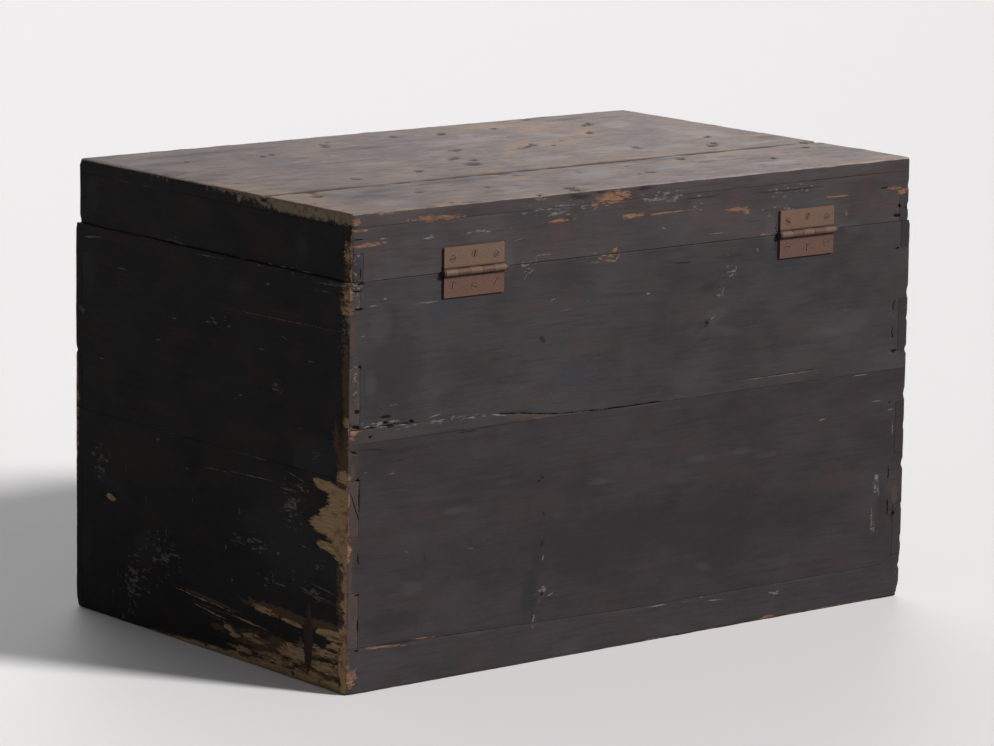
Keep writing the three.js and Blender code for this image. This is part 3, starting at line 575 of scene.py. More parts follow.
# The paint on the long sides is greyer, that on the ends blacker
paintLook = {
    "long": {
        "dark": (0.033, 0.029, 0.0298), "light": (0.049, 0.0447, 0.0463), "brown": (0.0495, 0.0382, 0.0382),
        "cool": (0.0375, 0.0382, 0.0408), "scuff": (0.082, 0.062, 0.053), "umber": (0.062, 0.045, 0.039),
        "bare": (0.170, 0.089, 0.054), "bareLight": (0.270, 0.150, 0.095), "bareDark": (0.080, 0.050, 0.036),
    },
    "end": {
        "dark": (0.0115, 0.0098, 0.010), "light": (0.019, 0.017, 0.0174), "brown": (0.026, 0.0175, 0.0145),
        "cool": (0.0150, 0.0160, 0.0165), "scuff": (0.090, 0.064, 0.044), "umber": (0.108, 0.067, 0.041),
        "bare": (0.375, 0.232, 0.120), "bareLight": (0.500, 0.350, 0.215), "bareDark": (0.190, 0.112, 0.062),
    },
    "toned": ("dark", "light", "brown", "cool"),
    "plankEnd": (0.65, 0.76, 1.00),
    "soft": {
        "shade": ((0.024, 0.021, 0.0225), 0.55), "band": ((0.0235, 0.0225, 0.0225), 0.80),
        "tint": ((0.056, 0.042, 0.037), 0.38), "smudge": ((0.088, 0.082, 0.083), 0.20),
    },
    "softEnd": {"tint": ((0.036, 0.019, 0.015), 0.55), "smudge": ((0.032, 0.033, 0.036), 0.55)},
    "scratch": (0.30, 0.265, 0.24),
    "stain": (0.012, 0.0095, 0.0090),
    "pit": (0.004, 0.003, 0.003),
    "gouge": (0.052, 0.032, 0.026),
    "shine": 0.07,
    # Coordinates shifted by noise: how far along the grain and across it, and the size of the noise
    "ragged": (0.014, 0.0036, 0.006),
    "broken": ((0.006, 0.0016, 0.004), (0.0030, 0.0014, 0.0011)),
    "patterns": {
        "streaks": ("place", (0.050, 0.0036), 4, 0.58, 0),
        "fine": ("place", (0.016, 0.0011), 3, 0.60, 1),
        "patches": ("place", (0.10, 0.060), 5, 0.60, 2),
        "brownPatches": ("place", (0.070, 0.038), 5, 0.60, 7),
        "coolPatches": ("place", (0.060, 0.040), 5, 0.60, 13),
        "streakEdge": ("place", (0.011, 0.0014), 4, 0.70, 11),
        "blobEdge": ("place", (0.012, 0.006), 4, 0.65, 12),
        "wearEdge": ("ragged", (0.024, 0.007), 6, 0.66, 4),
        "slits": ("broken", (0.012, 0.0026), 3, 0.60, 17),
        "woodTone": ("place", (0.030, 0.0016), 4, 0.65, 5),
        "woodPatch": ("place", (0.022, 0.009), 4, 0.62, 6),
        "scatter": ("place", (0.010, 0.0011), 2, 0.50, 8),
        "scatterWhere": ("place", (0.07, 0.07), 2, 0.50, 9),
        "flecks": ("broken", (0.0110, 0.0036), 3, 0.60, 16),
    },
    # Layers of paint: pattern, tone, and the values between which it fades in, with its strength
    "layers": (
        ("brownPatches", "brown", (0.46, 0.70, 0.0, 0.75)), ("coolPatches", "cool", (0.48, 0.70, 0.0, 0.65)),
        ("fine", "light", (0.54, 0.78, 0.0, 0.40)), ("streaks", "dark", (0.46, 0.28, 0.0, 0.50)),
    ),
    # Shares: the values between which each fades, and what it fades from and to
    "fades": {
        "broad": (0.3, 0.72), "scuffed": (0.34, 0.48, 0.0, 0.9), "worn": (0.52, 0.58),
        "slits": (0.54, 0.64, 1.0, 0.15), "bareLight": (0.40, 0.74), "bareDark": (0.46, 0.66, 0.0, 0.75),
        "scatter": (0.72, 0.77), "scatterWhere": (0.52, 0.66), "flecks": (0.60, 0.72, 0.0, 0.36),
        "fleckWhere": (0.05, 0.6), "gaps": (0.38, 0.62, 0.05, 0.55), "rough": (0.2, 0.8, 0.52, 0.68),
    },
    # Marks: the coordinates, the patterns that break the outline, and how the mark fades
    "marks": {
        "kept": ("ragged", (("blobEdge", 0.7),), (0.85, 0.95)),
        "umber": ("ragged", (("blobEdge", 1.3), ("streakEdge", 0.8)), (0.70, 0.98, 0.85, 0.0)),
        "chip": ("ragged", (("streakEdge", 2.0), ("blobEdge", 1.3), ("fine", 0.5)), (0.76, 0.88, 1.0, 0.0)),
        "lobe": ("ragged", (("streakEdge", 0.75), ("blobEdge", 0.55), ("fine", 0.5)),
                 (0.76, 0.88, 1.0, 0.0)),
        "scratch": ("broken", (), (0.5, 1.2, 1.0, 0.0)),
        "stain": ("ragged", (("blobEdge", 1.2), ("streakEdge", 0.8)), (0.3, 1.1, 0.7, 0.0)),
        "gouge": ("place", (("blobEdge", 0.4),), (0.85, 1.0, 0.92, 0.0)),
        "pit": ("broken", (("streakEdge", 1.2),), (0.70, 1.0, 1.0, 0.0)),
    },
    "streaksInBroad": 0.45,
    "wearRagged": (("wearEdge", 1.1), ("streakEdge", 0.25)),
    "fleckGain": 0.16,
    "scatterStrength": 0.22,
    "heights": {"streaks": 0.16, "fine": 0.12, "worn": 0.35},
    "wornRough": 0.85,
}


# How the paint of some boards differs on the long sides
boardTones = {
    "lid_back_skirt": (1.30, 1.20, 1.20),
    "lid_back_plank": (1.35, 1.24, 1.22),
    "back_lower_board": (0.87, 0.80, 0.825),
    "back_bottom_rail": (0.95, 0.90, 0.92),
    "left_end_upper_board": (0.84, 0.78, 0.78),
    "left_end_lower_board": (0.84, 0.78, 0.78),
    "right_end_upper_board": (1.40, 1.18, 1.08),
    "right_end_lower_board": (1.40, 1.18, 1.08),
}


# The painted surface: color, roughness and height, with its marks and worn places
def paintSurface(tree, place, axis, marks, spin, boardTone, isPlank):
    look = paintLook
    endFace = attribute(tree, "endFace")
    broken = raggedPlace(tree, place, axis, *look["broken"][0], spin + 3)
    places = {
        "place": place,
        "ragged": raggedPlace(tree, place, axis, *look["ragged"], spin),
        "broken": raggedPlace(tree, broken, axis, *look["broken"][1], spin + 5),
    }
    patterns = makePatterns(tree, look["patterns"], places, axis, spin)

    def tone(name):
        long = look["long"][name]
        end = look["end"][name]
        if name in look["toned"]:
            long = tuple(part * share for part, share in zip(long, boardTone))
        elif isPlank:
            end = tuple(part * share for part, share in zip(end, look["plankEnd"]))
        return mixColors(tree, endFace, long, end)

    def fade(name, value=None):
        return ramp(tree, patterns[name] if value is None else value, *look["fades"][name])

    # How much the marks of one kind cover, or None where a board has none
    def cover(kind):
        where, edges, limits = look["marks"][kind]
        distance = markDistance(tree, places[where], marks, kind)
        if distance is None:
            return None
        for name, amount in edges:
            distance = roughen(tree, distance, patterns[name], amount)
        return ramp(tree, distance, *limits)

    # Paint: short streaks of grain under it, and broad brown, cool and grey patches
    broad = roughen(tree, patterns["patches"], patterns["streaks"], look["streaksInBroad"])
    color = mixColors(tree, fade("broad", broad), tone("dark"), tone("light"))
    for name, layerTone, limits in look["layers"]:
        color = mixColors(tree, ramp(tree, patterns[name], *limits), color, tone(layerTone))
    color = mixColors(tree, endFace, softPatches(tree, color, place, look["soft"], spin + 15),
                      softPatches(tree, color, place, look["softEnd"], spin + 15))
    # Scuffed and bare wood where wear or a chip took the paint
    wear = attribute(tree, "wear")
    for name, amount in look["wearRagged"]:
        wear = roughen(tree, wear, patterns[name], amount)
    scuffed = fade("scuffed", wear)
    worn = fade("worn", wear)
    lost = cover("kept")
    if lost is not None:
        scuffed = calc(tree, "MULTIPLY", scuffed, lost)
        worn = calc(tree, "MULTIPLY", worn, lost)
    color = mixColors(tree, scuffed, color, tone("scuff"))
    umber = cover("umber")
    if umber is not None:
        color = mixColors(tree, umber, color, tone("umber"))
        scuffed = calc(tree, "MAXIMUM", scuffed, umber)
    chips = cover("chip")
    if chips is not None:
        worn = calc(tree, "MAXIMUM", worn, calc(tree, "MULTIPLY", chips, fade("slits")))
    lobes = cover("lobe")
    if lobes is not None:
        worn = calc(tree, "MAXIMUM", worn, lobes)
    bare = mixColors(tree, fade("bareLight", patterns["woodTone"]), tone("bare"), tone("bareLight"))
    bare = mixColors(tree, fade("bareDark", patterns["woodPatch"]), bare, tone("bareDark"))
    color = mixColors(tree, worn, color, bare)
    # Pale scratches, single ones and a sparse scatter along the grain
    scattered = calc(tree, "MULTIPLY", fade("scatter"), fade("scatterWhere"))
    fleck = attribute(tree, "fleck")
    flecked = fade("flecks", roughen(tree, patterns["flecks"], fleck, look["fleckGain"]))
    scratched = calc(tree, "MAXIMUM", calc(tree, "MULTIPLY", scattered, look["scatterStrength"]),
                     calc(tree, "MULTIPLY", flecked, fade("fleckWhere", fleck)))
    single = cover("scratch")
    if single is not None:
        single = calc(tree, "MULTIPLY", single, fade("gaps", patterns["streakEdge"]))
        scratched = calc(tree, "MAXIMUM", scratched, single)
    color = mixColors(tree, scratched, color, look["scratch"])
    # Dark stains, knots and dirt in the seams, and the painted shadow beside the hinge leaves, then the
    # gouge and the pits
    dirt = attribute(tree, "dirt")
    stainsAndShadows = cover("stain")
    if stainsAndShadows is not None:
        dirt = calc(tree, "MAXIMUM", dirt, stainsAndShadows)
    color = mixColors(tree, dirt, color, look["stain"])
    heights = look["heights"]
    height = calc(tree, "ADD", calc(tree, "MULTIPLY", patterns["streaks"], heights["streaks"]),
                  calc(tree, "MULTIPLY", patterns["fine"], heights["fine"]))
    height = calc(tree, "SUBTRACT", height, calc(tree, "MULTIPLY", worn, heights["worn"]))
    hollow = cover("gouge")
    if hollow is not None:
        color = mixColors(tree, hollow, color, look["gouge"])
    pits = cover("pit")
    if pits is not None:
        color = mixColors(tree, pits, color, look["pit"])
        height = calc(tree, "SUBTRACT", height, pits)
    rough = mixValues(tree, calc(tree, "MAXIMUM", worn, scuffed), fade("rough", patterns["streaks"]),
                      look["wornRough"])
    return color, rough, height


plankLook = {
    "cool": (0.228, 0.199, 0.195),
    "warm": (0.292, 0.229, 0.206),
    "pale": (0.350, 0.309, 0.293),
    "tan": (0.375, 0.257, 0.188),
    "dark": (0.110, 0.088, 0.082),
    "stain": (0.062, 0.048, 0.041),
    "soft": {
        "shadow": ((0.135, 0.120, 0.117), 0.60), "pale": ((0.350, 0.316, 0.300), 0.60),
        "tan": ((0.365, 0.262, 0.198), 0.68),
    },
    "ragged": (0.014, 0.010, 0.012),
    "patterns": {
        "streaks": ("place", (0.050, 0.0050), 5, 0.62, 0),
        "mottle": ("place", (0.046, 0.013, 0.02), 5, 0.66, 8),
        "broad": ("place", (0.075, 0.085, 0.08), 5, 0.62, 1),
        "fine": ("place", (0.014, 0.0030), 4, 0.66, 2),
        "blots": ("place", (0.022, 0.034, 0.03), 5, 0.66, 3),
        "paleParts": ("place", (0.050, 0.070, 0.06), 6, 0.66, 5),
        "wearEdge": ("ragged", (0.05, 0.030), 6, 0.66, 4),
        "inner": ("place", (0.008, 0.0060, 0.006), 4, 0.62, 7),
    },
    # Layers: pattern, the pattern that makes it ragged and by how much, color, and how it fades in
    "ground": ("broad", "blots", 0.4, "warm", (0.36, 0.64)),
    "paleLayer": ("paleParts", "fine", 0.4, "pale", (0.50, 0.74, 0.0, 0.7)),
    "layers": (
        ("blots", "fine", 0.5, "dark", (0.60, 0.86, 0.0, 0.55)),
        ("mottle", "fine", 0.4, "dark", (0.50, 0.74, 0.0, 0.60)),
        ("mottle", None, 0.0, "pale", (0.48, 0.26, 0.0, 0.70)),
        ("fine", "streaks", 0.6, "dark", (0.54, 0.80, 0.0, 0.30)),
    ),
    "wear": {"amount": 1.4, "fade": (0.38, 0.80, 0.0, 0.75)},
    "spots": {"inner": 1.9, "blots": 0.6, "fade": (0.42, 0.95, 0.0, 0.85)},
    "rough": (0.2, 0.8, 0.66, 0.82),
    "heights": {"streaks": 0.4, "fine": 0.4, "dirt": 0.7},
    "nearTone": 0.71,
    "farTone": 1.08,
}


# The weathered top of the planks, mottled more than streaked, with little grain left
def plankSurface(tree, place, axis, spin):
    look = plankLook
    places = {"place": place, "ragged": raggedPlace(tree, place, axis, *look["ragged"], spin)}
    patterns = makePatterns(tree, look["patterns"], places, axis, spin)

    def addLayer(color, name, edge, amount, tint, limits):
        value = patterns[name]
        if edge:
            value = roughen(tree, value, patterns[edge], amount)
        return mixColors(tree, ramp(tree, value, *limits), color, look[tint])

    color = addLayer(look["cool"], *look["ground"])
    color = addLayer(color, *look["paleLayer"])
    color = softPatches(tree, color, place, look["soft"], spin + 9)
    wear = roughen(tree, attribute(tree, "wear"), patterns["wearEdge"], look["wear"]["amount"])
    color = mixColors(tree, ramp(tree, wear, *look["wear"]["fade"]), color, look["tan"])
    for layer in look["layers"]:
        color = addLayer(color, *layer)
    # Darker towards the right end, as in the photograph
    along = addNode(tree, "ShaderNodeSeparateXYZ", {0: place}).outputs["X"]
    shade = ramp(tree, along, chestLow[0], chestHigh[0], look["farTone"], look["nearTone"])
    grey = addNode(tree, "ShaderNodeCombineColor", {0: shade, 1: shade, 2: shade}).outputs[0]
    color = mixColors(tree, 1.0, color, grey, "MULTIPLY")
    spots = look["spots"]
    uneven = roughen(tree, attribute(tree, "spot"), patterns["inner"], spots["inner"])
    uneven = roughen(tree, uneven, patterns["blots"], spots["blots"])
    dirt = calc(tree, "MAXIMUM", attribute(tree, "dirt"), ramp(tree, uneven, *spots["fade"]))
    color = mixColors(tree, dirt, color, look["stain"])
    heights = look["heights"]
    height = calc(tree, "ADD", calc(tree, "MULTIPLY", patterns["streaks"], heights["streaks"]),
                  calc(tree, "MULTIPLY", patterns["fine"], heights["fine"]))
    height = calc(tree, "SUBTRACT", height, calc(tree, "MULTIPLY", dirt, heights["dirt"]))
    return color, ramp(tree, patterns["streaks"], *look["rough"]), height


# Outside of a board: paint, and on the planks the weathered top where they face up
topEdge = {"size": (0.03, 0.004), "detail": 4, "rough": 0.6, "amount": 0.8, "fade": (0.40, 0.60)}
outsideBump = (0.0013, 0.75)  # depth and strength


def outsideWood(name, axis, marks, spin, isPlank):
    material, tree, shader = startMaterial(name + "_outside", paintLook["long"]["dark"], 0.5)
    shader.inputs["Specular IOR Level"].default_value = paintLook["shine"]
    place = addNode(tree, "ShaderNodeTexCoord").outputs["Object"]
    color, rough, height = paintSurface(tree, place, axis, marks, spin,
                                        boardTones.get(name, (1, 1, 1)), isPlank)
    if isPlank:
        topColor, topRough, topHeight = plankSurface(tree, place, axis, spin + 20)
        edge = noise(tree, place, alongGrain(axis, *topEdge["size"]), topEdge["detail"], topEdge["rough"],
                     spin + 30)
        value = roughen(tree, attribute(tree, "topFace"), edge, topEdge["amount"])
        share = ramp(tree, value, *topEdge["fade"])
        color = mixColors(tree, share, color, topColor)
        rough = mixValues(tree, share, rough, topRough)
        height = mixValues(tree, share, height, topHeight)
    tree.links.new(color, shader.inputs["Base Color"])
    tree.links.new(rough, shader.inputs["Roughness"])
    bumpOn(tree, shader, height, *outsideBump)
    return material


bareLook = {
    "light": (0.400, 0.275, 0.172),
    "dark": (0.230, 0.145, 0.087),
    "stain": (0.135, 0.090, 0.058),
    "wavy": (0.05, 0.010, 0.05),
    "patterns": {
        "rings": ("wavy", (0.9, 0.030), 2, 0.4, 0),
        "fine": ("place", (0.14, 0.0016), 4, 0.6, 1),
        "patches": ("place", (0.16, 0.07), 4, 0.6, 2),
    },
    "bandCount": 16.0,
    "bands": (0.35, 1.0, 0.0, 0.55),
    "layers": (("fine", "dark", (0.48, 0.74, 0.0, 0.35)), ("patches", "stain", (0.5, 0.75, 0.0, 0.5))),
    "rough": (0.2, 0.8, 0.7, 0.9),
    "bandHeight": 0.35,
    "bump": (0.0008, 0.5),
}


def bareWood(name, axis, spin):
    look = bareLook
    material, tree, shader = startMaterial(name, look["light"], 0.8)
    place = addNode(tree, "ShaderNodeTexCoord").outputs["Object"]
    places = {"place": place, "wavy": raggedPlace(tree, place, axis, *look["wavy"], spin + 3)}
    patterns = makePatterns(tree, look["patterns"], places, axis, spin)
    bands = calc(tree, "PINGPONG", calc(tree, "MULTIPLY", patterns["rings"], look["bandCount"]), 1.0)
    color = mixColors(tree, ramp(tree, bands, *look["bands"]), look["light"], look["dark"])
    for layer, tint, limits in look["layers"]:
        color = mixColors(tree, ramp(tree, patterns[layer], *limits), color, look[tint])
    color = mixColors(tree, attribute(tree, "dirt"), color, look["stain"])
    tree.links.new(color, shader.inputs["Base Color"])
    tree.links.new(ramp(tree, patterns["fine"], *look["rough"]), shader.inputs["Roughness"])
    height = calc(tree, "ADD", calc(tree, "MULTIPLY", bands, look["bandHeight"]), patterns["fine"])
    bumpOn(tree, shader, height, *look["bump"])
    return material


rustLook = {
    "lid": {"base": (0.117, 0.068, 0.046), "orange": (0.142, 0.076, 0.049), "dark": (0.052, 0.031, 0.023)},
    "base": {"base": (0.090, 0.044, 0.031), "orange": (0.112, 0.052, 0.034), "dark": (0.037, 0.021, 0.016)},
    "screw": {"base": (0.094, 0.054, 0.038), "orange": (0.118, 0.063, 0.041), "dark": (0.030, 0.019, 0.015)},
    "pin": {"base": (0.038, 0.023, 0.018), "orange": (0.055, 0.030, 0.022), "dark": (0.012, 0.009, 0.008)},
    "nail": {"base": (0.085, 0.068, 0.060), "orange": (0.120, 0.085, 0.066), "dark": (0.035, 0.028, 0.025)},
    "paintedNail": {
        "base": (0.030, 0.026, 0.026), "orange": (0.042, 0.034, 0.031), "dark": (0.016, 0.014, 0.014),
    },
}
rustPattern = {
    "patterns": {
        "patches": ("place", (0.012, 0.012), 5, 0.65, 0),
        "specks": ("place", (0.0016, 0.0016), 4, 0.6, 1),
    },
    "pitScale": 520.0,
    "orange": (0.35, 0.65),
    "specks": (0.5, 0.75, 0.0, 0.45),
    "pits": (0.05, 0.3, 0.25, 0.0),
    "rough": (0.3, 0.7, 0.55, 0.8),
    "pitHeight": 0.6,
    "bump": (0.0004, 0.7),
    "shine": 0.3,
}
# Painted shade in the corner beside a barrel, under it on the base leaf and above it on the lid leaf:
# heights where it starts and is full, its ragged edge and strength, and how far out of the back it ends
barrelShade = {"lid": (0.4572, 0.4550), "base": (0.4425, 0.4455), "ragged": 0.0012, "strength": 0.85,
               "out": (0.0028, 0.0034)}


def rustySteel(name, kind, spin):
    look = rustLook[kind]
    material, tree, shader = startMaterial(name, look["base"], 0.7)
    shader.inputs["Specular IOR Level"].default_value = rustPattern["shine"]
    place = addNode(tree, "ShaderNodeTexCoord").outputs["Object"]
    patterns = makePatterns(tree, rustPattern["patterns"], {"place": place}, 0, spin)
    pits = addNode(tree, "ShaderNodeTexVoronoi", {
        "Vector": place, "Scale": rustPattern["pitScale"],
    }).outputs["Distance"]
    orange = ramp(tree, patterns["patches"], *rustPattern["orange"])
    color = mixColors(tree, orange, look["base"], look["orange"])
    color = mixColors(tree, ramp(tree, patterns["specks"], *rustPattern["specks"]), color, look["dark"])
    color = mixColors(tree, ramp(tree, pits, *rustPattern["pits"]), color, look["dark"])
    if kind in ("lid", "base"):
        # Painted shade on the leaf's flat face next to the barrel, darkest against it
        parts = addNode(tree, "ShaderNodeSeparateXYZ", {0: place}).outputs
        rise = roughen(tree, parts["Z"], patterns["specks"], barrelShade["ragged"])
        leafShade = ramp(tree, rise, *barrelShade[kind], 0.0, barrelShade["strength"])
        near, far = barrelShade["out"]
        flat = ramp(tree, parts["Y"], chestHigh[1] + near, chestHigh[1] + far, 1.0, 0.0)
        color = mixColors(tree, calc(tree, "MULTIPLY", leafShade, flat), color, rustLook["pin"]["dark"])
    tree.links.new(color, shader.inputs["Base Color"])
    tree.links.new(ramp(tree, patterns["patches"], *rustPattern["rough"]), shader.inputs["Roughness"])
    height = calc(tree, "ADD", patterns["specks"], calc(tree, "MULTIPLY", pits, rustPattern["pitHeight"]))
    bumpOn(tree, shader, height, *rustPattern["bump"])
    return material


# How the edges of the two bodies are rounded off by wear, in metres
edgeRounding = {
    "base": {"side": 0.0013, "top": 0.0002, "bottom": 0.0022},
    "lid": {"side": 0.0022, "top": 0.0028, "bottom": 0.0002},
}
# How much paint the same edges have lost
edgeWear = {
    "base": {"upright": 0.52, "top": 0.08, "bottom": 0.50},
    "lid": {"upright": 0.46, "top": 0.46, "bottom": 0.10},
}
# Bites out of the upright corners. For each corner (signs of x and y) height, half length and depth in mm
cornerBites = {
    (-1, 1): [
        (492, 4, 4), (467, 5, 4), (450, 4, 3), (365, 7, 4), (335, 4, 3), (297, 5, 5), (244, 6, 4),
        (205, 5, 3), (160, 6, 4), (110, 4, 3), (24, 34, 3), (37, 4, 7), (70, 3, 5), (-6, 24, 7), (0, 6, 9),
    ],
    (1, 1): [
        (451, 8, 4), (482, 5, 3), (294, 7, 5), (423, 4, 3), (510, 5, 4), (235, 4, 2), (173, 4, 2),
        (110, 4, 2), (48, 5, 3), (3, 8, 6),
    ],
    (1, -1): [
        (304, 4, 4), (451, 7, 4), (3, 8, 5), (523, 6, 5), (180, 5, 2),
    ],
    (-1, -1): [
        (451, 6, 3), (298, 5, 3), (120, 5, 3), (3, 7, 4), (523, 6, 4),
    ],
}
# Where wear has bared the wood: place, half sizes along x, y and z in mm, strength
wearZones = [
    (onEnd(0.006, 0.120), (12, 17, 140), 0.46),
    (onEnd(0.006, 0.450), (12, 13, 75), 0.26),
    (onEnd(0.100, 0.030), (12, 110, 30), 0.30),
    (onEnd(0.170, 0.002), (12, 190, 9), 0.50),
    (onBack(0.004, 0.022), (12, 12, 22), 0.45),
    (onFront(0.004, 0.030), (12, 12, 40), 0.40),
    (onFront(0.818, 0.230), (12, 12, 90), 0.34),
    (onFront(0.300, 0.002), (220, 12, 10), 0.40),
    (onLeftEnd(0.250, 0.002), (12, 150, 9), 0.40),
    (onLeftEnd(0.200, 0.525), (12, 190, 10), 0.34),
    (onTop(0.010, 0.440), (110, 110, 20), 0.34),
    (onTop(0.006, 0.290), (90, 240, 20), 0.34),
    (onTop(0.550, 0.120), (190, 130, 20), 0.24),
    (onTop(0.330, 0.300), (200, 70, 20), 0.14),
    (onTop(0.700, 0.480), (140, 40, 20), 0.16),
]
surfaceLook = {
    "roundingNoise": (0.035, 0.0075),  # sizes of a coarse and a small noise
    "roundingParts": {"least": 0.55, "coarse": 0.9, "small": 0.5, "smallFrom": 0.55},
    "biteNoise": 0.4,
    "wave": (0.0004, (0.17, 0.17, 0.09), 5),  # height, size and seed of a slow wave in the faces
    "ripple": (0.00025, (0.03, 0.03, 0.010), 6),
    "waveDepth": 0.010,
    "wearWidth": 0.0045,
    "wearParts": {"least": 0.6, "coarse": 0.8},
    "zoneFade": (-1.25, -0.55),
    "backCorner": {"width": 0.03, "share": 0.38},  # the back's edge beside the right end keeps more paint
    "endFade": (-0.0015, 0.0015),
    "topFade": (-0.0045, 0.0005),
    "lidDrop": 0.0007,  # how far the lid's lower edge closes the gap to the base
    "lidDropDepth": 0.004,
}
calmReach = (0.002, 0.010)
metalBoxes = [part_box(name) for name in slotOf if slotOf[name] not in woodSlots]


# 0 beside screws, nails and hinges, where a face stays flat, and 1 away from them
def awayFromMetal(points):
    calm = np.ones(len(points))
    for low, high in metalBoxes:
        outside = np.maximum(np.maximum(np.array(low) - points, points - np.array(high)), 0)
        calm = np.minimum(calm, fadeIn(np.sqrt((outside**2).sum(axis=1)), *calmReach))
    return calm


# Moves points as wear and age would, and gives their wear and which way the nearest outer face looks
def weather(points, body, seed):
    look = surfaceLook
    low, high = bodyBox[body]
    rounding = edgeRounding[body]
    sign = np.where(points > (low + high) / 2, 1.0, -1.0)
    depth = np.minimum(points - low, high - points)
    coarse, small = (smoothNoise(points, size, seed + i) for i, size in enumerate(look["roundingNoise"]))
    parts = look["roundingParts"]
    factor = (parts["least"] + parts["coarse"] * coarse
              + parts["small"] * np.clip(small - parts["smallFrom"], 0, 1))
    side = rounding["side"] * factor
    for corner, bites in cornerBites.items():
        here = (sign[:, 0] == corner[0]) & (sign[:, 1] == corner[1])
        for height, halfLength, bite in bites:
            away = np.abs(points[:, 2] - height / 1000) / (halfLength / 1000)
            deep = bite / 1000 * np.clip(1 - away**2, 0, 1) * (look["biteNoise"] + small)
            side = side + np.where(here, deep, 0)
    upper = np.where(sign[:, 2] > 0, rounding["top"], rounding["bottom"]) * factor
    radius = np.stack([side, side, upper], axis=1)
    reach = np.clip((radius - depth) / radius, 0, 1)
    length = np.sqrt((reach**2).sum(axis=1))
    reach = np.where(length[:, None] > 1, reach / np.maximum(length, 1)[:, None], reach)
    rounded = np.where(depth < radius, radius * (1 - reach), depth)
    # A slow wave and a ripple in the faces
    wave, ripple = (rise * smoothNoise(points, size, number) for rise, size, number in
                    (look["wave"], look["ripple"]))
    fade = np.clip(1 - rounded / look["waveDepth"], 0, 1) * awayFromMetal(points)[:, None]
    fade[:, 2] *= (sign[:, 2] > 0) if body == "lid" else 0
    rounded = rounded + fade * (wave + ripple)[:, None]
    moved = points + sign * (depth - rounded)
    # Wear along the edges and in the worn zones
    weights = edgeWear[body]
    level = np.where(sign[:, 2] > 0, weights["top"], weights["bottom"])
    inner = np.maximum(depth[:, 0], depth[:, 1])
    outer = np.minimum(depth[:, 0], depth[:, 1])
    upright = weights["upright"] * np.exp(-inner / look["wearWidth"])
    flat = level * np.exp(-np.maximum(outer, depth[:, 2]) / look["wearWidth"])
    wear = np.maximum(upright, flat) * (look["wearParts"]["least"] + look["wearParts"]["coarse"] * coarse)
    for place, half, strength in wearZones:
        away = np.sqrt((((points - np.array(place)) / (np.array(half) / 1000)) ** 2).sum(axis=1))
        wear = wear + strength * fadeIn(-away, *look["zoneFade"])
    nearCorner = (sign[:, 0] > 0) & (sign[:, 1] > 0) & (inner < look["backCorner"]["width"])
    wear = np.where(nearCorner & (depth[:, 1] < depth[:, 0]), wear * look["backCorner"]["share"], wear)
    if body == "lid":
        drop = look["lidDrop"] * fadeIn(-depth[:, 2], -look["lidDropDepth"], 0)
        moved[:, 2] -= drop * (sign[:, 2] < 0)
    endFace = fadeIn(depth[:, 1] - depth[:, 0], *look["endFade"])
    topFace = fadeIn(outer - (high[2] - points[:, 2]), *look["topFade"])
    return moved, {"wear": wear, "endFace": endFace, "topFace": topFace}


# Cracks and pits are carved a little, so that their edges catch the light
carving = {
    "pit": 0.0022, "gouge": 0.0024, "chip": 0.0006, "dent": 0.0014,
    "wobble": (0.004, 31, 0.7),  # size, seed and amount of the noise on an outline
    "fade": (-0.15, 0.6),
    "seam": 0.0030, "seamWidth": 0.0054, "seamNoise": (0.02, 51), "seamSkin": 0.006, "seamTop": 0.003,
    "seamDirt": (2.0, 0.95),  # gain and most
}
softReach = 0.35  # how far outside its outline a soft patch still counts
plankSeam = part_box("lid_back_plank")[0][1]


# How near each point of a face is to marks: 1 in their middle, 0 on their outline and less outside
def nearness(points, marks, placeOn, normal, turnSign, least=0.0):
    run, rise = faceAxes(normal)
    near = np.full(len(points), -1.0)
    for along, across, halfLong, halfHigh, *tilt in marks:
        spot = placeOn(along / 1000, across / 1000)
        angle = math.radians(sum(tilt)) * (turnSign if normal != 1 else -turnSign)
        x = points[:, run] - spot[run]
        y = points[:, rise] - spot[rise]
        away = np.hypot((x * math.cos(angle) + y * math.sin(angle)) * 1000 / halfLong,
                        (y * math.cos(angle) - x * math.sin(angle)) * 1000 / max(halfHigh, least))
        near = np.maximum(near, np.where(np.abs(points[:, normal] - spot[normal]) < markDepth, 1 - away, -1))
    return near


# How deep the marks of one kind are carved at each point of a face, from 0 to 1
def markReach(points, marks, kind, placeOn, normal, turnSign):
    size, seed, amount = carving["wobble"]
    wobble = (smoothNoise(points, size, seed) - 0.5) * amount
    near = nearness(points, marks[kind], placeOn, normal, turnSign, 1.0)
    return np.where(near > -1, fadeIn(near + wobble, *carving["fade"]), 0)


# The soft patches at each point of a board, 0 away from them
def softValues(points):
    values = {}
    for kind in softKinds:
        near = np.full(len(points), -1.0)
        for marks, placeOn, normal, turnSign in sheets:
            if kind in marks:
                near = np.maximum(near, nearness(points, marks[kind], placeOn, normal, turnSign))
        values[kind] = np.clip(near + softReach, 0, None)
    return values


# The seam over the back rail runs down towards the left end. Along the back and height, in millimetres
railSeam = {
    "along": (0, 25, 200, 400, 790, 806), "height": (51, 51, 46.5, 42, 41.5, 51), "low": 12, "high": 108,
}


def slantSeam(points):
    look = railSeam
    level = look["height"][0]
    drop = np.interp((chestHigh[0] - points[:, 0]) * 1000, look["along"], look["height"]) - level
    height = points[:, 2] * 1000
    share = np.minimum((height - look["low"]) / (level - look["low"]),
                       (look["high"] - height) / (look["high"] - level))
    return drop / 1000 * np.clip(share, 0, 1)


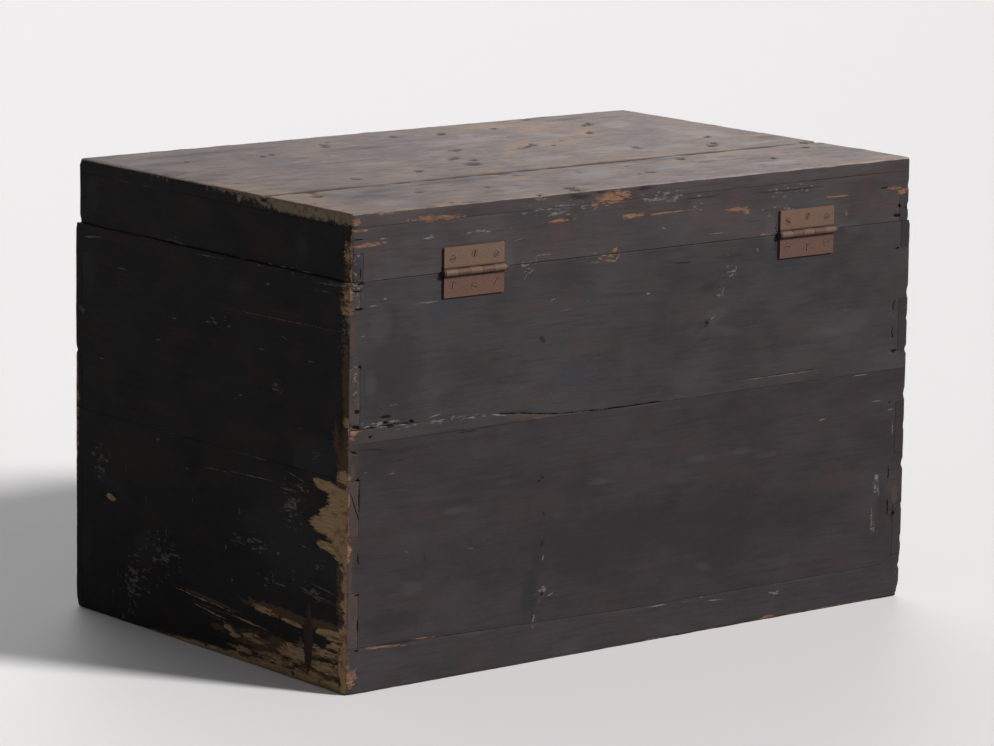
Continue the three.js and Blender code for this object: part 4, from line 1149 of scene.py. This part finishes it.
def carve(name, kind, points, moved, dirt):
    if kind == "plank":
        away = np.abs(points[:, 1] - plankSeam)
        width = carving["seamWidth"] * (0.5 + smoothNoise(points, *carving["seamNoise"]))
        skin = points[:, 2] > chestHigh[2] - carving["seamSkin"]
        gap = np.where(skin, np.clip(1 - away / width, 0, 1), 0)
        moved[:, 2] -= carving["seam"] * gap * (points[:, 2] > chestHigh[2] - carving["seamTop"])
        gain, most = carving["seamDirt"]
        dirt[:] = np.maximum(dirt, np.clip(gap * gain, 0, most))
        moved[:, 2] -= carving["dent"] * markReach(points, topMarks, "spot", onTop, 2, -1)
    if name.startswith("back_") or name == "lid_back_skirt":
        moved[:, 1] -= carving["pit"] * markReach(points, backMarks, "pit", onBack, 1, 1)
    if name.startswith("right_end"):
        moved[:, 0] -= carving["gouge"] * markReach(points, endMarks, "gouge", onEnd, 0, 1)
        moved[:, 0] -= carving["chip"] * markReach(points, endMarks, "lobe", onEnd, 0, 1)
    if name in ("back_bottom_rail", "back_lower_board"):
        moved[:, 2] += slantSeam(points)


# Spacing of the grid that each board is cut into, and finer stretches of it, in mm
gridStep = {"painted": 4.5, "plank": 4.5, "bare": 9.0}
fineStretches = {
    "back_lower_board": [(2, 262, 275, 1.0), (0, 320, 411, 1.6)],
    "back_upper_board": [(2, 275, 306, 1.0), (0, 320, 411, 1.6)],
    "right_end_lower_board": [(1, 178, 200, 1.5)],
    "lid_front_plank": [(1, 95, 99.8, 0.8)],
    "lid_back_plank": [(1, 100.3, 105, 0.8)],
}
cornerCuts = (1.2, 2.4, 4.0, 6.0, 8.5, 11.5)
cutting = {
    "fromEdge": 0.0004, "apart": 0.0005,  # least distances of a cut from a board's face and the next cut
    "merge": 1e-5, "onPlane": 1e-6, "flatAngle": 0.02,
    "longEdge": 0.007, "edgeAngle": 0.7, "easing": 0.0002,
}


def gridPlaces(name, axis, low, high, step, body):
    size = high - low
    count = max(1, round(size * 1000 / step))
    places = [low + size * i / count for i in range(1, count)]
    bodyLow, bodyHigh = bodyBox[body]
    for cut in cornerCuts:
        places += [bodyLow[axis] + cut / 1000, bodyHigh[axis] - cut / 1000]
    for stretchAxis, start, end, fineStep in fineStretches.get(name, []):
        if stretchAxis == axis:
            places += list(np.arange(start, end, fineStep) / 1000)
    kept = []
    for place in sorted(places):
        inside = low + cutting["fromEdge"] < place < high - cutting["fromEdge"]
        if inside and (not kept or place - kept[-1] > cutting["apart"]):
            kept.append(place)
    return kept


# A board as a closed mesh with eased edges, cut into a grid that wear can move
def cutBoard(name, step):
    shape = bmesh.new()
    shape.from_mesh(nodes[name].data)
    bmesh.ops.remove_doubles(shape, verts=shape.verts, dist=cutting["merge"])
    bmesh.ops.dissolve_limit(shape, angle_limit=cutting["flatAngle"], verts=shape.verts, edges=shape.edges)
    longEdges = [edge for edge in shape.edges if edge.calc_length() > cutting["longEdge"]
                 and edge.calc_face_angle(0) > cutting["edgeAngle"]]
    bmesh.ops.bevel(shape, geom=longEdges, offset=cutting["easing"], segments=2, profile=0.6,
                    affect="EDGES", clamp_overlap=True)
    low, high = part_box(name)
    sizes = [high[i] - low[i] for i in range(3)]
    for axis in sorted(range(3), key=lambda i: -sizes[i]):
        direction = [1.0 if i == axis else 0.0 for i in range(3)]
        for place in gridPlaces(name, axis, low[axis], high[axis], step, bodyOf[name]):
            spot = [place if i == axis else 0.0 for i in range(3)]
            bmesh.ops.bisect_plane(shape, geom=shape.verts[:] + shape.edges[:] + shape.faces[:],
                                   dist=cutting["onPlane"], plane_co=spot, plane_no=direction)
    return shape


def grainAxis(name):
    low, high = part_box(name)
    return 1 if high[1] - low[1] > high[0] - low[0] else 0


kindOf = {"black_paint": "painted", "weathered_planks": "plank", "bare_wood": "bare"}
edgeDirt = {"most": 0.24, "noise": (0.02, 21), "flat": 0.985, "lidGap": 0.002}
boardSeed = 11
smoothAngle = 50


def makeBoard(index, name):
    slot = slotOf[name]
    kind = kindOf[slot]
    shape = cutBoard(name, gridStep[kind])
    shape.verts.ensure_lookup_table()
    points = np.array([v.co[:] for v in shape.verts])
    shape.normal_update()
    normals = np.array([v.normal[:] for v in shape.verts])
    moved, values = weather(points, bodyOf[name], boardSeed)
    onEdge = np.abs(normals).max(axis=1) < edgeDirt["flat"]
    atLid = np.abs(points[:, 2] - bodyBox["lid"][0][2]) < edgeDirt["lidGap"]
    dirt = np.where(onEdge & ~atLid, edgeDirt["most"] * smoothNoise(points, *edgeDirt["noise"]), 0.0)
    carve(name, kind, points, moved, dirt)
    for vertex, place in zip(shape.verts, moved):
        vertex.co = place
    mesh = bpy.data.meshes.new(name + "_worn")
    shape.to_mesh(mesh)
    shape.free()
    values["dirt"] = dirt
    values.update(softValues(points))
    for label, numbers in values.items():
        mesh.attributes.new(label, "FLOAT", "POINT").data.foreach_set("value", numbers.astype(np.float32))
    mesh.shade_smooth()
    mesh.set_sharp_from_angle(angle=math.radians(smoothAngle))
    piece = bpy.data.objects.new(name + "_worn", mesh)
    bpy.context.scene.collection.objects.link(piece)
    low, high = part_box(name)
    axis = grainAxis(name)
    spin = 1.7 * index + 0.3
    if kind == "bare":
        mesh.materials.append(bareWood(name + "_wood", axis, spin))
    else:
        mesh.materials.append(outsideWood(name, axis, marksFor(low, high), spin, kind == "plank"))
        mesh.materials.append(bareWood(name + "_inside", axis, spin))
        paintInside(mesh, bodyOf[name])
    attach(piece, bodyOf[name])
    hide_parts(name)
    return piece


# The faces that look into the chest, or down under it, are bare
def paintInside(mesh, body):
    low, high = bodyBox[body]
    count = len(mesh.polygons)
    centres = np.empty(count * 3)
    normals = np.empty(count * 3)
    mesh.polygons.foreach_get("center", centres)
    mesh.polygons.foreach_get("normal", normals)
    centres = centres.reshape(-1, 3)
    normals = normals.reshape(-1, 3)
    depth = np.minimum(centres - low, high - centres)
    inward = (normals * np.where(centres > (low + high) / 2, -1, 1)).max(axis=1) > 0.8
    bare = inward & (depth.min(axis=1) > 0.010)
    if body == "base":
        bare |= (normals[:, 2] < -0.8) & (centres[:, 2] < 0.004)
    mesh.polygons.foreach_set("material_index", bare.astype(np.int32))


pieces = {name: makeBoard(i, name) for i, name in enumerate(boards)}
print("boards made:", len(pieces), "with", sum(len(p.data.polygons) for p in pieces.values()), "faces")


# Hinges, screws and nails keep their solids and get softer edges and rust, and the hinge leaves a painted
# shade beside the barrel
metalEdge = {"leaf": 0.0004, "screw": 0.00025, "nail": 0.0003}


def finishMetal(index, name):
    piece = nodes[name]
    kind = {"nail_iron": "nail", "screw_steel": "screw"}.get(slotOf[name], "leaf")
    rust = kind
    if kind == "leaf":
        rust = "lid" if name.endswith("lid_leaf") else "base"
    if name.endswith("_pin"):
        rust = "pin"
    if kind == "nail" and "plank" not in name:
        rust = "paintedNail"
    bevel = piece.modifiers.new("soft edges", "BEVEL")
    bevel.width = metalEdge[kind]
    bevel.segments = 2
    bevel.limit_method = "ANGLE"
    bevel.angle_limit = math.radians(40)
    piece.data.materials.clear()
    piece.data.materials.append(rustySteel(name + "_rust", rust, index * 0.37))


for index, name in enumerate(sorted(set(nodes) - set(boards))):
    finishMetal(index, name)
print("hinges and nails finished")


# Floor, light and background. The key comes from behind the chest, as in the photograph, and a weak
# light from the front keeps the front from going black.
studio = {
    "floor": (0.872, 0.842, 0.837),
    "floorInBounces": (0.36, 0.355, 0.35),
    "floorSize": 60,
    "key": {"azimuth": 121.7, "elevation": 35, "strength": 3.75, "angle": 10},
    "front": {"azimuth": 245, "elevation": 24, "strength": 0.8, "angle": 50},
    "sky": (0.93, 0.96, 1.0),
    "skyStrength": 0.13,
    "backdrop": (0.82, 0.83, 0.85),
    "backdropInGloss": 0.4,
}


# 1 for what the camera sees straight or through glass, less for what gloss sees, 0 for bounces
def seenShare(tree):
    path = addNode(tree, "ShaderNodeLightPath")
    straight = calc(tree, "MAXIMUM", path.outputs["Is Camera Ray"], path.outputs["Is Transmission Ray"])
    gloss = calc(tree, "MULTIPLY", path.outputs["Is Glossy Ray"], studio["backdropInGloss"])
    return calc(tree, "MAXIMUM", straight, gloss)


def addSun(name):
    look = studio[name]
    sun = bpy.data.lights.new(name, "SUN")
    sun.energy = look["strength"]
    sun.angle = math.radians(look["angle"])
    lamp = bpy.data.objects.new(name, sun)
    azimuth = math.radians(look["azimuth"])
    elevation = math.radians(look["elevation"])
    toSun = Vector((math.cos(azimuth) * math.cos(elevation), math.sin(azimuth) * math.cos(elevation),
                    math.sin(elevation)))
    lamp.rotation_mode = "QUATERNION"
    lamp.rotation_quaternion = toSun.to_track_quat("Z", "Y")
    bpy.context.scene.collection.objects.link(lamp)


def makeStudio():
    size = studio["floorSize"]
    mesh = bpy.data.meshes.new("floor")
    corners = [(-size, -size, 0), (size, -size, 0), (size, size, 0), (-size, size, 0)]
    mesh.from_pydata(corners, [], [(0, 1, 2, 3)])
    floor = bpy.data.objects.new("floor", mesh)
    bpy.context.scene.collection.objects.link(floor)
    material, tree, shader = startMaterial("floor", studio["floor"], 0.6)
    color = mixColors(tree, seenShare(tree), studio["floorInBounces"], studio["floor"])
    tree.links.new(color, shader.inputs["Base Color"])
    mesh.materials.append(material)
    addSun("key")
    addSun("front")

    world = bpy.data.worlds.new("studio")
    bpy.context.scene.world = world
    world.use_nodes = True
    tree = world.node_tree
    tree.nodes.clear()
    sky = addNode(tree, "ShaderNodeBackground", {
        "Color": (*studio["sky"], 1), "Strength": studio["skyStrength"],
    })
    seen = addNode(tree, "ShaderNodeBackground", {"Color": (*studio["backdrop"], 1), "Strength": 1.0})
    mixed = addNode(tree, "ShaderNodeMixShader", {0: seenShare(tree), 1: sky.outputs[0], 2: seen.outputs[0]})
    addNode(tree, "ShaderNodeOutputWorld", {"Surface": mixed.outputs[0]})


makeStudio()
bpy.context.scene.view_settings.view_transform = "Standard"
print("studio ready")
